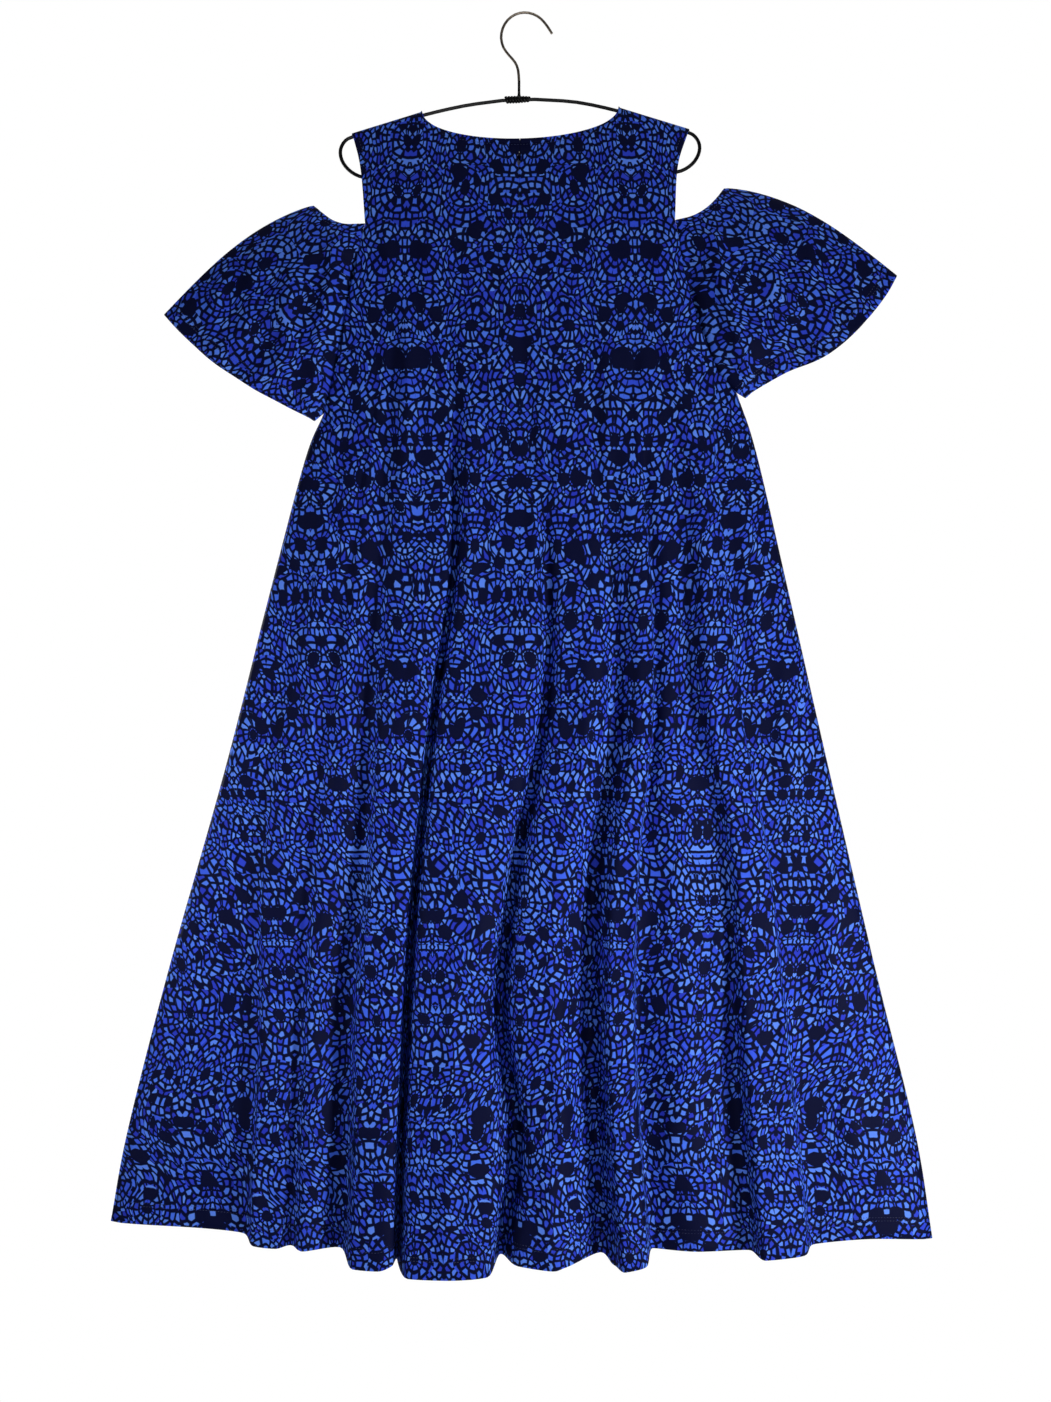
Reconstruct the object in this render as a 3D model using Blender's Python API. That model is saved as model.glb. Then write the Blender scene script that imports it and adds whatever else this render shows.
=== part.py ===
"""Cold shoulder swing dress on a wire hanger, in metres, +Z up.

The origin is the seat inside the top of the hanger's hook. The back of the dress
faces -Y, and left and right are as seen from there. Heights are negative downwards.
"""

import math

import bmesh
import bpy
import numpy as np
from mathutils import Vector

MM = 0.001

# Cloth
WALL = 1.4 * MM
SEAM_GAP = 0.3 * MM
SLEEVE_SEAM_GAP = 0.45 * MM
WIRE_GAP = 0.5 * MM

# Hanger
ARM_RADIUS = 1.9 * MM
HOOK_RADIUS = 1.4 * MM
COLLAR_RADIUS = 3.4 * MM
COLLAR_END_RADIUS = 2.7 * MM
COLLAR_LEFT, COLLAR_RIGHT = -22.0 * MM, 4.0 * MM
COLLAR_HEIGHT = -90.4 * MM

# Outline of both panels, in mm: a row for each level, from the shoulder to the hem.
# gape is half the front-to-back gap at the edge, depth is the same at the middle,
# and steps is how many rows of the grid lead to the next level.
OUTLINE_COLUMNS = ("left", "left_height", "right", "right_height", "gape", "depth", "steps")
YOKE = {
    "shoulder": (-183.5, -125.6, 170.1, -121.1, 3.8, 6.0, 2),
    "blade": (-174.3, -164.0, 157.8, -162.0, 6.5, 10.5, 3),
    "notch": (-169.0, -223.2, 154.4, -219.6, 11.0, 14.0, 0),
}
ARMHOLE = {
    "notch": (-169.0, -223.2, 154.4, -219.6, 11.0, 14.0, 1),
    "slit_end": (-171.8, -236.0, 157.0, -232.0, 12.0, 15.0, 2),
    "arm": (-185.9, -300.0, 168.5, -292.0, 12.5, 18.0, 2),
    "chest": (-203.0, -385.0, 196.0, -369.0, 8.0, 21.0, 1),
    "gusset": (-209.5, -408.0, 210.0, -388.0, 5.0, 21.5, 1),
    "underarm": (-214.0, -421.0, 220.5, -399.0, 0.15, 22.0, 0),
}
SKIRT = {
    "underarm": (-214.0, -421.0, 220.5, -399.0, 0.15, 22.0, 1),
    "bust": (-233.0, -468.0, 240.5, -460.0, 0.15, 23.0, 2),
    "waist": (-268.0, -600.0, 273.0, -600.0, 0.15, 24.0, 3),
    "hip": (-317.0, -793.0, 317.0, -793.0, 0.15, 25.0, 3),
    "knee": (-376.0, -1003.0, 366.0, -1003.0, 0.15, 25.0, 3),
    "shin": (-419.0, -1172.0, 407.5, -1172.0, 0.15, 25.0, 2),
    "hem": (-437.0, -1268.5, 425.6, -1283.0, 0.15, 24.0, 0),
}

# Stations across a panel, in mm: where each fold's ridge or valley runs at four
# heights, how far it stands out at the hem, how low the hem is there, and on which
# side the ridge falls off steeply (-1 left, 1 right).
FOLD_HEIGHTS = (-125.0, -552.0, -930.0, -1276.0)
CURVE_STEPS = 20
FOLD_COLUMNS = ("shoulder", "bust", "knee", "hem", "lift", "hem_height", "steep")
BACK_FOLDS = {
    "side_left": (-183.5, -256, -354, -437, 0, -1268.5, 0),
    "flat_left": (-160, -234, -304, -361, 2, -1270, 0),
    "step": (-140, -213, -265, -281, 3, -1277, 0),
    "ridge_1": (-125, -189, -214, -255, 30, -1285, -1),
    "valley_1": (-110.3, -163, -172, -214, 6, -1284, 0),
    "ridge_2": (-85, -116, -138, -151, 40, -1299, 1),
    "valley_2": (-62, -70, -111, -134, -8, -1303, 0),
    "ridge_3": (-32, -30, -62, -76, 44, -1307, 1),
    "valley_3": (-7.5, 13, -10, -26, 2, -1293, 0),
    "ridge_4": (20, 63, 40, 25, 38, -1299, 1),
    "valley_4": (47, 109, 87, 55, 0, -1292, 0),
    "ridge_5": (73, 139, 126, 104, 36, -1299, 1),
    "valley_5": (96.2, 170, 165, 138, 0, -1286, 0),
    "ridge_6": (110, 188, 195, 175, 12, -1287, 0),
    "valley_6": (124, 205, 226, 218, 0, -1287, 0),
    "ridge_7": (137, 223, 262, 264, 28, -1291, 1),
    "valley_7": (148, 237, 297, 298, 2, -1283, 0),
    "flat_right": (159, 249, 321, 357, 2, -1281, 0),
    "side_right": (170.1, 262, 345, 426, 0, -1283, 0),
}
FRONT_FOLDS = {
    "side_left": (-183.5, -256, -354, -437, 0, -1268.5, 0),
    "flat_left": (-147, -218, -292, -352, 3, -1272, 0),
    "ridge_1": (-129, -180, -236, -280, 30, -1288, 1),
    "valley_1": (-110.3, -146, -196, -236, 2, -1284, 0),
    "ridge_2": (-74, -98, -140, -168, 40, -1300, -1),
    "valley_2": (-42, -58, -96, -112, -2, -1294, 0),
    "ridge_3": (-7.5, -8, -28, -44, 34, -1302, 1),
    "valley_3": (32, 44, 36, 22, 0, -1294, 0),
    "ridge_4": (66, 92, 92, 84, 40, -1303, -1),
    "valley_4": (96.2, 138, 152, 150, 0, -1291, 0),
    "ridge_5": (120, 178, 214, 232, 32, -1296, 1),
    "valley_5": (140, 214, 268, 300, 2, -1286, 0),
    "flat_right": (156, 240, 310, 356, 3, -1283, 0),
    "side_right": (170.1, 262, 345, 426, 0, -1283, 0),
}
WRAP_ANGLES = (math.radians(90), math.radians(45), 0.0)  # the top rows, round the wire
WRAP_ROWS = len(WRAP_ANGLES) - 1
FOLDS_START = -395.0
FOLDS_GROWTH = 1.15
STEEPNESS = 2.6
SECTION_ROUNDNESS = 2.4  # a panel's cross-section is a flattened oval of this power
SIDE_ROUNDING = (0.02, 0.07, 0.2, 0.5, 1.0)  # columns that turn the side edge, as shares

# Neckline, in mm
NECK_LEFT, NECK_RIGHT = -110.3, 96.2
NECK_LEFT_HEIGHT, NECK_RIGHT_HEIGHT = -103.0, -98.4
BACK_NECK_DEPTH = 33.0
FRONT_NECK_DEPTH = 43.0
NECK_GAPE = 8.0
NECK_FADE_END = -300.0
NECK_FADE_POWER = 1.3

# Slit at the centre back, in mm: a row for each level of the grid below the neckline
SLIT_STATION = "valley_3"
SLIT_HALF_GAPS = (0.2, 0.2, 0.25, 1.7, 0.3, 0.25, 0.2, 0.2)

# Sleeves, in mm: the free edge from the peak of its fold to the notch, the hem from
# the tip of the fold to the underarm, and how high the fold bulges.
LEFT_SLEEVE = {
    "side": -1,
    "free_edge": [(-224.2, -201.5), (-214.0, -211.0), (-203.5, -219.0), (-192.0, -223.3), (-181.0, -223.8)],
    "hem": [(-381.0, -315.5), (-363.3, -334.5), (-333.9, -360.8), (-297.2, -385.5), (-260.4, -406.5),
            (-232.0, -421.5), (-222.8, -427.6)],
    "bulge": 14.0,
}
RIGHT_SLEEVE = {
    "side": 1,
    "free_edge": [(206.9, -183.4), (199.0, -194.5), (189.0, -205.0), (177.0, -213.0), (165.5, -217.5)],
    "hem": [(388.3, -274.5), (372.8, -300.0), (349.7, -328.0), (318.0, -354.5), (277.0, -372.5),
            (241.5, -393.0), (228.9, -403.5)],
    "bulge": 17.0,
}
SLEEVE_HEM_DEPTH = 17.0
SLEEVE_PUFF = 9.0
SLEEVE_PUFF_SPEED = 1.3
SLEEVE_RIPPLE = 2.6
SLEEVE_RIPPLES = 3.5
SLEEVE_FOLD_ROUNDNESS = 0.55
SLEEVE_STEPS = 9
SLEEVE_FREE_STEPS = (0.0, 0.03, 0.12, 0.3, 0.55, 0.8)  # columns along the free edge, as shares

# Hanger wire, in mm: half the loop on each side, from the collar out and back in
ARM_LEFT = [(-26.0, -91.0), (-66.0, -96.6), (-110.3, -106.8), (-147.0, -118.1), (-180.0, -128.2),
            (-190.5, -133.0), (-195.8, -142.5), (-194.5, -153.5), (-187.5, -163.5), (-176.0, -170.5),
            (-160.0, -172.8)]
ARM_RIGHT = [(8.0, -89.8), (52.0, -92.8), (96.2, -102.2), (133.0, -113.5), (166.5, -123.7),
             (176.0, -128.5), (181.0, -137.5), (179.8, -148.0), (173.0, -158.0), (161.5, -165.0),
             (146.0, -167.4)]
HOOK = [(-8.4, -71.0), (-9.4, -59.0), (-12.8, -50.6), (-19.0, -43.4), (-24.6, -35.6), (-27.2, -25.6),
        (-25.6, -15.4), (-20.4, -6.6), (-12.4, -0.7), (-3.0, 1.4), (6.4, -0.2), (14.6, -5.2),
        (21.2, -13.0), (26.2, -20.8)]

# Hook and eye inside the top of the slit, in mm
FASTENER_RADIUS = 0.45
FASTENER_DROP = 7.5
FASTENER_WIDTH = 5.0
FASTENER_HEIGHT = 5.5
FASTENER_ROUND = 1.4
FASTENER_APART = 0.9


def make_material(name, colour, roughness, metallic=0.0):
    material = bpy.data.materials.new(name)
    material.use_nodes = True
    shader = material.node_tree.nodes["Principled BSDF"]
    shader.inputs["Base Color"].default_value = (*colour, 1.0)
    shader.inputs["Roughness"].default_value = roughness
    shader.inputs["Metallic"].default_value = metallic
    return material


def through(points, steps):
    """Points on a smooth curve through the given ones, with this many steps to each next one."""
    points = np.asarray(points, float)
    steps = [steps] * (len(points) - 1) if isinstance(steps, int) else steps
    before = np.vstack([2 * points[0] - points[1], points[:-1]])
    after = np.vstack([points[1:], 2 * points[-1] - points[-2]])
    slopes = (after - before) / 2
    found = [points[0]]
    for i, count in enumerate(steps):
        for t in np.arange(1, count + 1) / count:
            found.append(
                (2 * t**3 - 3 * t**2 + 1) * points[i]
                + (t**3 - 2 * t**2 + t) * slopes[i]
                + (3 * t**2 - 2 * t**3) * points[i + 1]
                + (t**3 - t**2) * slopes[i + 1]
            )
    return np.array(found)


def rows_of(levels):
    """The grid's rows between a table's levels, as named columns."""
    table = np.array(list(levels.values()))
    count = OUTLINE_COLUMNS.index("steps")
    rows = through(table[:, :count], [int(n) for n in table[:-1, count]])
    return {name: rows[:, i] for i, name in enumerate(OUTLINE_COLUMNS[:count])}


def outline():
    """All rows of a panel. The first three pass over the hanger's wire."""
    parts = [rows_of(YOKE), rows_of(ARMHOLE), rows_of(SKIRT)]
    rows = {
        name: np.concatenate([parts[0][name], parts[1][name][1:], parts[2][name][1:]])
        for name in OUTLINE_COLUMNS[:-1]
    }
    over = (ARM_RADIUS + WIRE_GAP + WALL) / MM
    rows["gape"] = np.maximum(rows["gape"], SEAM_GAP / MM / 2)
    for name in rows:
        rows[name] = np.concatenate([rows[name][:1]] * 2 + [rows[name]])
    for i, angle in enumerate(WRAP_ANGLES):
        drop = over * (1 - math.sin(angle))
        depth = SEAM_GAP / MM / 2 + over * math.cos(angle)
        rows["left_height"][i] -= drop
        rows["right_height"][i] -= drop
        rows["gape"][i] = rows["depth"][i] = depth
    return rows


ROWS = outline()
ROW_COUNT = len(ROWS["left"])
NOTCH_ROW = WRAP_ROWS + sum(level[-1] for level in YOKE.values())
UNDERARM_ROW = NOTCH_ROW + sum(level[-1] for level in ARMHOLE.values())
SLIT_ROW = len(SLIT_HALF_GAPS)


def fold_columns(folds):
    """The grid's columns: each station's values, with steep or rounded steps between stations."""
    table = np.array(list(folds.values()), float)
    steep = FOLD_COLUMNS.index("steep")
    columns, stations = [table[0, :steep]], [0]
    for i in range(len(table) - 1):
        first, last = table[i], table[i + 1]
        if i == 0:
            shares = SIDE_ROUNDING
        elif i == len(table) - 2:
            shares = [1 - share for share in reversed((0.0, *SIDE_ROUNDING[:-1]))]
        else:
            shares = (1 / 3, 2 / 3, 1.0)
        for share in shares:
            across = share
            if first[steep] == 1:
                across = 1 - (1 - share) ** STEEPNESS
            if last[steep] == -1:
                across = share**STEEPNESS
            rise = (1 - math.cos(math.pi * share)) / 2
            column = first + (last - first) * share
            column[3] = first[3] + (last[3] - first[3]) * across
            column[4:6] = first[4:6] + (last[4:6] - first[4:6]) * rise
            columns.append(column[:steep])
        stations.append(len(columns) - 1)
    return np.array(columns), dict(zip(folds, stations))


def in_neckline(x):
    return NECK_LEFT - 0.5 < x < NECK_RIGHT + 0.5


def neck_shape(x, neck_depth):
    """How far the top edge stands above the straight line between the shoulder ends, and how far it gapes."""
    left, right = ROWS["left"][0], ROWS["right"][0]
    left_height, right_height = YOKE["shoulder"][1], YOKE["shoulder"][3]
    line = left_height + (right_height - left_height) * (x - left) / (right - left)
    if x <= NECK_LEFT:
        top = left_height + (NECK_LEFT_HEIGHT - left_height) * (x - left) / (NECK_LEFT - left)
        return top - line, 0.0
    if x >= NECK_RIGHT:
        top = right_height + (NECK_RIGHT_HEIGHT - right_height) * (right - x) / (right - NECK_RIGHT)
        return top - line, 0.0
    share = (x - NECK_LEFT) / (NECK_RIGHT - NECK_LEFT)
    top = NECK_LEFT_HEIGHT + (NECK_RIGHT_HEIGHT - NECK_LEFT_HEIGHT) * share
    top -= neck_depth * math.sqrt(1 - (2 * share - 1) ** 2)
    return top - line, NECK_GAPE * math.sin(math.pi * share) ** 0.5


def panel_points(folds, neck_depth, side):
    """The outer points of a panel as rows of columns, in metres. side is -1 for the back, 1 for the front."""
    columns, stations = fold_columns(folds)
    fold_places = []
    for values, height in zip(columns.T[:4], FOLD_HEIGHTS):
        middles = (ROWS["left_height"] + ROWS["right_height"]) / 2
        left = np.interp(-height, -middles, ROWS["left"])
        right = np.interp(-height, -middles, ROWS["right"])
        fold_places.append(np.clip((values - left) / (right - left), 0.0, 1.0))
    fold_places = np.array(fold_places)
    fold_places[:, 0], fold_places[:, -1] = 0.0, 1.0
    hem_line = np.interp(fold_places[3], [0, 1], [ROWS["left_height"][-1], ROWS["right_height"][-1]])
    underarm = ROWS["left_height"][UNDERARM_ROW]
    curve = through(fold_places, CURVE_STEPS)
    curve_heights = through(np.array(FOLD_HEIGHTS)[:, None], CURVE_STEPS)[:, 0]
    points = np.zeros((ROW_COUNT, len(columns), 3))
    for row in range(ROW_COUNT):
        level = {name: values[row] for name, values in ROWS.items()}
        middle = (level["left_height"] + level["right_height"]) / 2
        places = [np.interp(-middle, -curve_heights, curve[:, i]) for i in range(len(columns))]
        growth = max(0.0, (FOLDS_START - middle) / (FOLDS_START - FOLD_HEIGHTS[3])) ** FOLDS_GROWTH
        fade_top = np.interp(middle, [NECK_FADE_END, FOLD_HEIGHTS[0]], [0.0, 1.0]) ** NECK_FADE_POWER
        fade_hem = max(0.0, (middle - underarm) / (FOLD_HEIGHTS[3] - underarm)) ** 2
        power = np.interp(row, [NOTCH_ROW, UNDERARM_ROW], [1.0, 0.5])
        for i, place in enumerate(places):
            x = level["left"] + (level["right"] - level["left"]) * place
            z = level["left_height"] + (level["right_height"] - level["left_height"]) * place
            rise, neck_gape = neck_shape(columns[i][0], neck_depth)
            z += rise * fade_top + (columns[i][5] - hem_line[i]) * fade_hem
            profile = max(0.0, 1 - abs(2 * place - 1) ** SECTION_ROUNDNESS) ** power
            depth = level["gape"] + (level["depth"] - level["gape"]) * profile
            if row <= WRAP_ROWS and in_neckline(columns[i][0]):
                depth = max(neck_gape, ROWS["gape"][WRAP_ROWS])
            depth += columns[i][4] * growth * (0 < i < len(places) - 1)
            points[row, i] = (x, side * depth, z)
    return points * MM, stations


def inward_offsets(points, side):
    """Unit steps from a panel's outer points into its wall, level at the edges that meet another piece."""
    mirrored = points * (1, -1, 1)
    across = np.zeros_like(points)
    down = np.zeros_like(points)
    across[:, 1:-1] = points[:, 2:] - points[:, :-2]
    across[:, 0] = points[:, 1] - mirrored[:, 1]
    across[:, -1] = mirrored[:, -2] - points[:, -2]
    down[1:-1] = points[2:] - points[:-2]
    down[0] = points[1] - points[0]
    down[-1] = points[-1] - points[-2]
    offsets = np.cross(across, down)
    offsets /= np.linalg.norm(offsets, axis=2)[:, :, None]
    offsets *= -side
    level = np.array([0.0, -side, 0.0])
    offsets[WRAP_ROWS:UNDERARM_ROW, [0, -1]] = level
    for column in range(points.shape[1]):
        for row, angle in enumerate(WRAP_ANGLES):
            wrapped = np.array([0.0, -side * math.cos(angle), -math.sin(angle)])
            offsets[row, column] = level if in_neckline(points[0, column, 0] / MM) else wrapped
    for row in range(UNDERARM_ROW, len(points)):
        offsets[row, 0] = (1.0, 0.0, 0.0)
        offsets[row, -1] = (-1.0, 0.0, 0.0)
    return offsets


def wall_object(name, outer, inner, faces, material):
    """One closed solid from an outer sheet, the matching inner sheet and a rim along every free edge."""
    mesh = bmesh.new()
    outside = [mesh.verts.new(point) for point in outer]
    inside = [mesh.verts.new(point) for point in inner]
    used = {}
    for face in faces:
        mesh.faces.new([outside[i] for i in face])
        mesh.faces.new([inside[i] for i in reversed(face)])
        for start, end in zip(face, face[1:] + face[:1]):
            used[start, end] = True
    for start, end in used:
        if (end, start) not in used:
            mesh.faces.new([outside[end], outside[start], inside[start], inside[end]])
    bmesh.ops.triangulate(mesh, faces=mesh.faces[:])
    data = bpy.data.meshes.new(name)
    mesh.to_mesh(data)
    mesh.free()
    data.shade_smooth()
    data.set_sharp_from_angle(angle=math.radians(50))
    data.materials.append(material)
    found = bpy.data.objects.new(name, data)
    bpy.context.scene.collection.objects.link(found)
    return found


def make_panel(name, folds, neck_depth, side, material, slit=False):
    """A front or back panel from shoulder to hem. The back one is slit at its centre."""
    points, stations = panel_points(folds, neck_depth, side)
    offsets = inward_offsets(points, side) * WALL
    rows, columns = points.shape[:2]
    inside = points + offsets
    inside[:, :, 1] = side * np.maximum(side * inside[:, :, 1], SEAM_GAP / 2)
    outer, inner = list(points.reshape(-1, 3)), list(inside.reshape(-1, 3))
    right_copy = {}
    if slit:
        centre = stations[SLIT_STATION]
        for row, half_gap in enumerate(SLIT_HALF_GAPS):
            shift = np.array([half_gap * MM, 0.0, 0.0])
            at = row * columns + centre
            right_copy[at] = len(outer)
            outer.append(outer[at] + shift)
            inner.append(inner[at] + shift)
            outer[at] = outer[at] - shift
            inner[at] = inner[at] - shift
    faces = []
    for row in range(rows - 1):
        for column in range(columns - 1):
            at = row * columns + column
            face = [at, at + 1, at + 1 + columns, at + columns]
            if slit and column == centre:
                face = [right_copy.get(i, i) if i % columns == centre else i for i in face]
            faces.append(face if side > 0 else face[::-1])
    wall_object(name, outer, inner, faces, material)
    return points


def evenly(path):
    """How far along a path each of its points is, from 0 to 1."""
    along = np.concatenate([[0], np.cumsum(np.linalg.norm(np.diff(path, axis=0), axis=1))])
    return along / along[-1]


def at_shares(path, shares, along):
    return np.array([[np.interp(share, along, path[:, k]) for k in range(3)] for share in shares])


def sleeve_top(sleeve, edge):
    """The back half of a sleeve's top ring: its free edge, then the seam along the armhole."""
    side = sleeve["side"]
    seam = edge.copy()
    seam[:, 0] += side * SLEEVE_SEAM_GAP
    path = through([(x, 0.0, z) for x, z in sleeve["free_edge"]], 2) * MM
    shares = np.array(SLEEVE_FREE_STEPS)
    free = at_shares(path, shares, np.linspace(0, 1, len(path)))
    free[:, 1] = seam[0, 1] * np.sin(shares * math.pi / 2) ** SLEEVE_FOLD_ROUNDNESS
    ring = np.vstack([free, seam])
    ring[-1] = seam[-1] + np.array([side * SLEEVE_SEAM_GAP, 0.0, SLEEVE_SEAM_GAP])
    ring[-1, 1] = 0.0
    return ring


def sleeve_points(sleeve, edge):
    """The outer points of a sleeve as rows round the tube, from its top ring to its hem."""
    ring = sleeve_top(sleeve, edge)
    places = evenly(ring)
    path = through([(x, 0.0, z) for x, z in sleeve["hem"]], 8) * MM
    hem = at_shares(path, places, evenly(path))
    fold = hem[0] - ring[0]
    out = np.array([-fold[2], 0.0, fold[0]])
    out *= np.sign(out[2]) / np.linalg.norm(out)
    grid = np.zeros((SLEEVE_STEPS + 1, len(ring), 3))
    for row, t in enumerate(np.linspace(0, 1, SLEEVE_STEPS + 1)):
        puff = SLEEVE_PUFF * max(0.0, math.sin(math.pi * SLEEVE_PUFF_SPEED * t))
        for i, place in enumerate(places):
            rounding = math.sin(math.pi * min(1.0, place)) ** SLEEVE_FOLD_ROUNDNESS
            ripple = math.sin(2 * math.pi * SLEEVE_RIPPLES * place) * math.sin(math.pi * place)
            depth = (SLEEVE_HEM_DEPTH * t + puff) * rounding + SLEEVE_RIPPLE * t * ripple
            bulge = sleeve["bulge"] * math.sin(math.pi * t**0.8) * (1 - place) ** 3
            point = ring[i] * (1 - t) + hem[i] * t + out * bulge * MM
            point[1] = ring[i][1] * (1 - t) - depth * MM
            grid[row, i] = point
    return np.concatenate([grid, grid[:, -2:0:-1] * (1, -1, 1)], axis=1)


def make_sleeve(name, sleeve, edge, material):
    """A flared sleeve: a flattened tube that is open at the armhole, at the free edge and at the hem."""
    side = sleeve["side"]
    grid = sleeve_points(sleeve, edge)
    rows, columns = grid.shape[:2]
    across = np.roll(grid, -1, axis=1) - np.roll(grid, 1, axis=1)
    offsets = np.cross(across, np.gradient(grid, axis=0))
    offsets *= -side / np.linalg.norm(offsets, axis=2)[:, :, None]
    for i in range(len(SLEEVE_FREE_STEPS), columns // 2):
        offsets[0, i] = (0.0, 1.0, 0.0)
        offsets[0, columns - i] = (0.0, -1.0, 0.0)
    inner = grid + offsets * WALL
    faces = []
    for row in range(rows - 1):
        for column in range(columns):
            at, beside = row * columns + column, row * columns + (column + 1) % columns
            face = [at, beside, beside + columns, at + columns]
            faces.append(face[::-1] if side < 0 else face)
    wall_object(name, grid.reshape(-1, 3), inner.reshape(-1, 3), faces, material)


def make_wire(name, path, radius, closed, material):
    """A wire along points in mm, as a curve with a round bevel."""
    curve = bpy.data.curves.new(name, "CURVE")
    curve.dimensions = "3D"
    curve.bevel_depth = radius
    curve.bevel_resolution = 2
    curve.use_fill_caps = True
    spline = curve.splines.new("POLY")
    spline.points.add(len(path) - 1)
    for point, (x, y, z) in zip(spline.points, path):
        point.co = (x * MM, y * MM, z * MM, 1.0)
    spline.use_cyclic_u = closed
    curve.materials.append(material)
    found = bpy.data.objects.new(name, curve)
    bpy.context.scene.collection.objects.link(found)
    return found


def make_hanger(wire_material, hook_material, collar_material):
    """The wire loop, the hook above it and the wrap that joins them."""
    left = through([(x, 0.0, z) for x, z in ARM_LEFT], 3)
    right = through([(x, 0.0, z) for x, z in ARM_RIGHT], 3)
    make_wire("hanger_frame", np.vstack([left[::-1], right]), ARM_RADIUS, True, wire_material)
    shank_end = (COLLAR_HEIGHT + COLLAR_RADIUS + SEAM_GAP) / MM
    shank = [(HOOK[0][0], 0.0, shank_end)]
    hook = through([(x, 0.0, z) for x, z in HOOK], 2)
    make_wire("hanger_hook", np.vstack([shank, hook]), HOOK_RADIUS, False, hook_material)
    make_collar(collar_material)


def make_collar(material):
    """A spindle turned round the wire, with a clear bore."""
    middle = (COLLAR_LEFT + COLLAR_RIGHT) / 2
    bore = ARM_RADIUS + SEAM_GAP
    section = [
        (COLLAR_LEFT, bore), (COLLAR_LEFT, COLLAR_END_RADIUS), (COLLAR_LEFT + 4 * MM, COLLAR_RADIUS),
        (COLLAR_RIGHT - 4 * MM, COLLAR_RADIUS), (COLLAR_RIGHT, COLLAR_END_RADIUS), (COLLAR_RIGHT, bore),
    ]
    tilt = math.atan2(
        (ARM_RIGHT[0][1] - ARM_LEFT[0][1]), (ARM_RIGHT[0][0] - ARM_LEFT[0][0])
    )
    mesh = bmesh.new()
    verts = [mesh.verts.new((x - middle, 0.0, radius)) for x, radius in section]
    edges = [mesh.edges.new((a, b)) for a, b in zip(verts, verts[1:] + verts[:1])]
    bmesh.ops.spin(
        mesh, geom=verts + edges, cent=(0, 0, 0), axis=(1, 0, 0), angle=2 * math.pi, steps=16
    )
    bmesh.ops.remove_doubles(mesh, verts=mesh.verts[:], dist=1e-6)
    bmesh.ops.recalc_face_normals(mesh, faces=mesh.faces[:])
    data = bpy.data.meshes.new("hanger_collar")
    mesh.to_mesh(data)
    mesh.free()
    data.shade_smooth()
    data.set_sharp_from_angle(angle=math.radians(40))
    data.materials.append(material)
    collar = bpy.data.objects.new("hanger_collar", data)
    collar.location = Vector((middle, 0.0, COLLAR_HEIGHT))
    collar.rotation_euler = (0.0, -tilt, 0.0)
    bpy.context.scene.collection.objects.link(collar)


def make_fastener(back, material):
    """A wire hook on the left edge of the slit and the eye that it catches on the right edge, both inside."""
    centre = fold_columns(BACK_FOLDS)[1][SLIT_STATION]
    neck_x, _, neck_height = back[0, centre] / MM
    clear = (WALL + SEAM_GAP) / MM + FASTENER_RADIUS
    y = back[0, centre, 1] / MM + clear
    z = neck_height - FASTENER_DROP
    half = FASTENER_HEIGHT / 2
    for name, turn, near in (("neck_hook", -1, FASTENER_APART), ("neck_eye", 1, FASTENER_APART)):
        profile = [
            (near + FASTENER_WIDTH, half), (near + FASTENER_ROUND, half), (near, half - FASTENER_ROUND),
            (near, FASTENER_ROUND - half), (near + FASTENER_ROUND, -half), (near + FASTENER_WIDTH, -half),
        ]
        path = through([(neck_x + turn * x, y, z + up) for x, up in profile], 2)
        make_wire(name, path, FASTENER_RADIUS * MM, False, material)


def main():
    for found in list(bpy.data.objects):
        bpy.data.objects.remove(found)
    cloth = make_material("printed_scuba_jersey", (0.02, 0.05, 0.32), 0.62)
    wire = make_material("black_coated_wire", (0.012, 0.012, 0.014), 0.45)
    steel = make_material("plated_steel_hook", (0.38, 0.35, 0.31), 0.3, 1.0)
    wrap = make_material("dipped_wrap", (0.02, 0.02, 0.022), 0.5)
    back = make_panel("back_panel", BACK_FOLDS, BACK_NECK_DEPTH, -1, cloth, slit=True)
    make_panel("front_panel", FRONT_FOLDS, FRONT_NECK_DEPTH, 1, cloth)
    seam = back[NOTCH_ROW:UNDERARM_ROW + 1]
    make_sleeve("left_sleeve", LEFT_SLEEVE, seam[:, 0], cloth)
    make_sleeve("right_sleeve", RIGHT_SLEEVE, seam[:, -1], cloth)
    make_hanger(wire, steel, wrap)
    make_fastener(back, steel)


main()
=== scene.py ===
import math
import bpy
import numpy as np
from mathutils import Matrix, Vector
from mathutils.bvhtree import BVHTree


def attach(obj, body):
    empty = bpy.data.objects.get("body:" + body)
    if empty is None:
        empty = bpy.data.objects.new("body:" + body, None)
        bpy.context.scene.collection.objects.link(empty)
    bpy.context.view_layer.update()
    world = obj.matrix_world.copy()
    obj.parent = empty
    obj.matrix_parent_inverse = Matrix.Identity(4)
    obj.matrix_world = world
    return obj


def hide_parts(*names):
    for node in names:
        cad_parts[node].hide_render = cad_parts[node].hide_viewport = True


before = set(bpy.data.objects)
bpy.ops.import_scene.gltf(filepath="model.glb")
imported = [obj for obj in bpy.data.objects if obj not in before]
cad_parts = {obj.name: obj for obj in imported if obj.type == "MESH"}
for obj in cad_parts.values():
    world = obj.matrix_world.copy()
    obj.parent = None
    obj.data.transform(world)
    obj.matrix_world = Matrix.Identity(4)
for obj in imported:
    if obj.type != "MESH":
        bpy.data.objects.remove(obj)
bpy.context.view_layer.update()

mm = 0.001
print("frame loaded:", ", ".join(sorted(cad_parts)))


def deselectAll():
    if bpy.context.mode != "OBJECT":
        bpy.ops.object.mode_set(mode="OBJECT")
    bpy.ops.object.select_all(action="DESELECT")


deselectAll()

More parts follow.
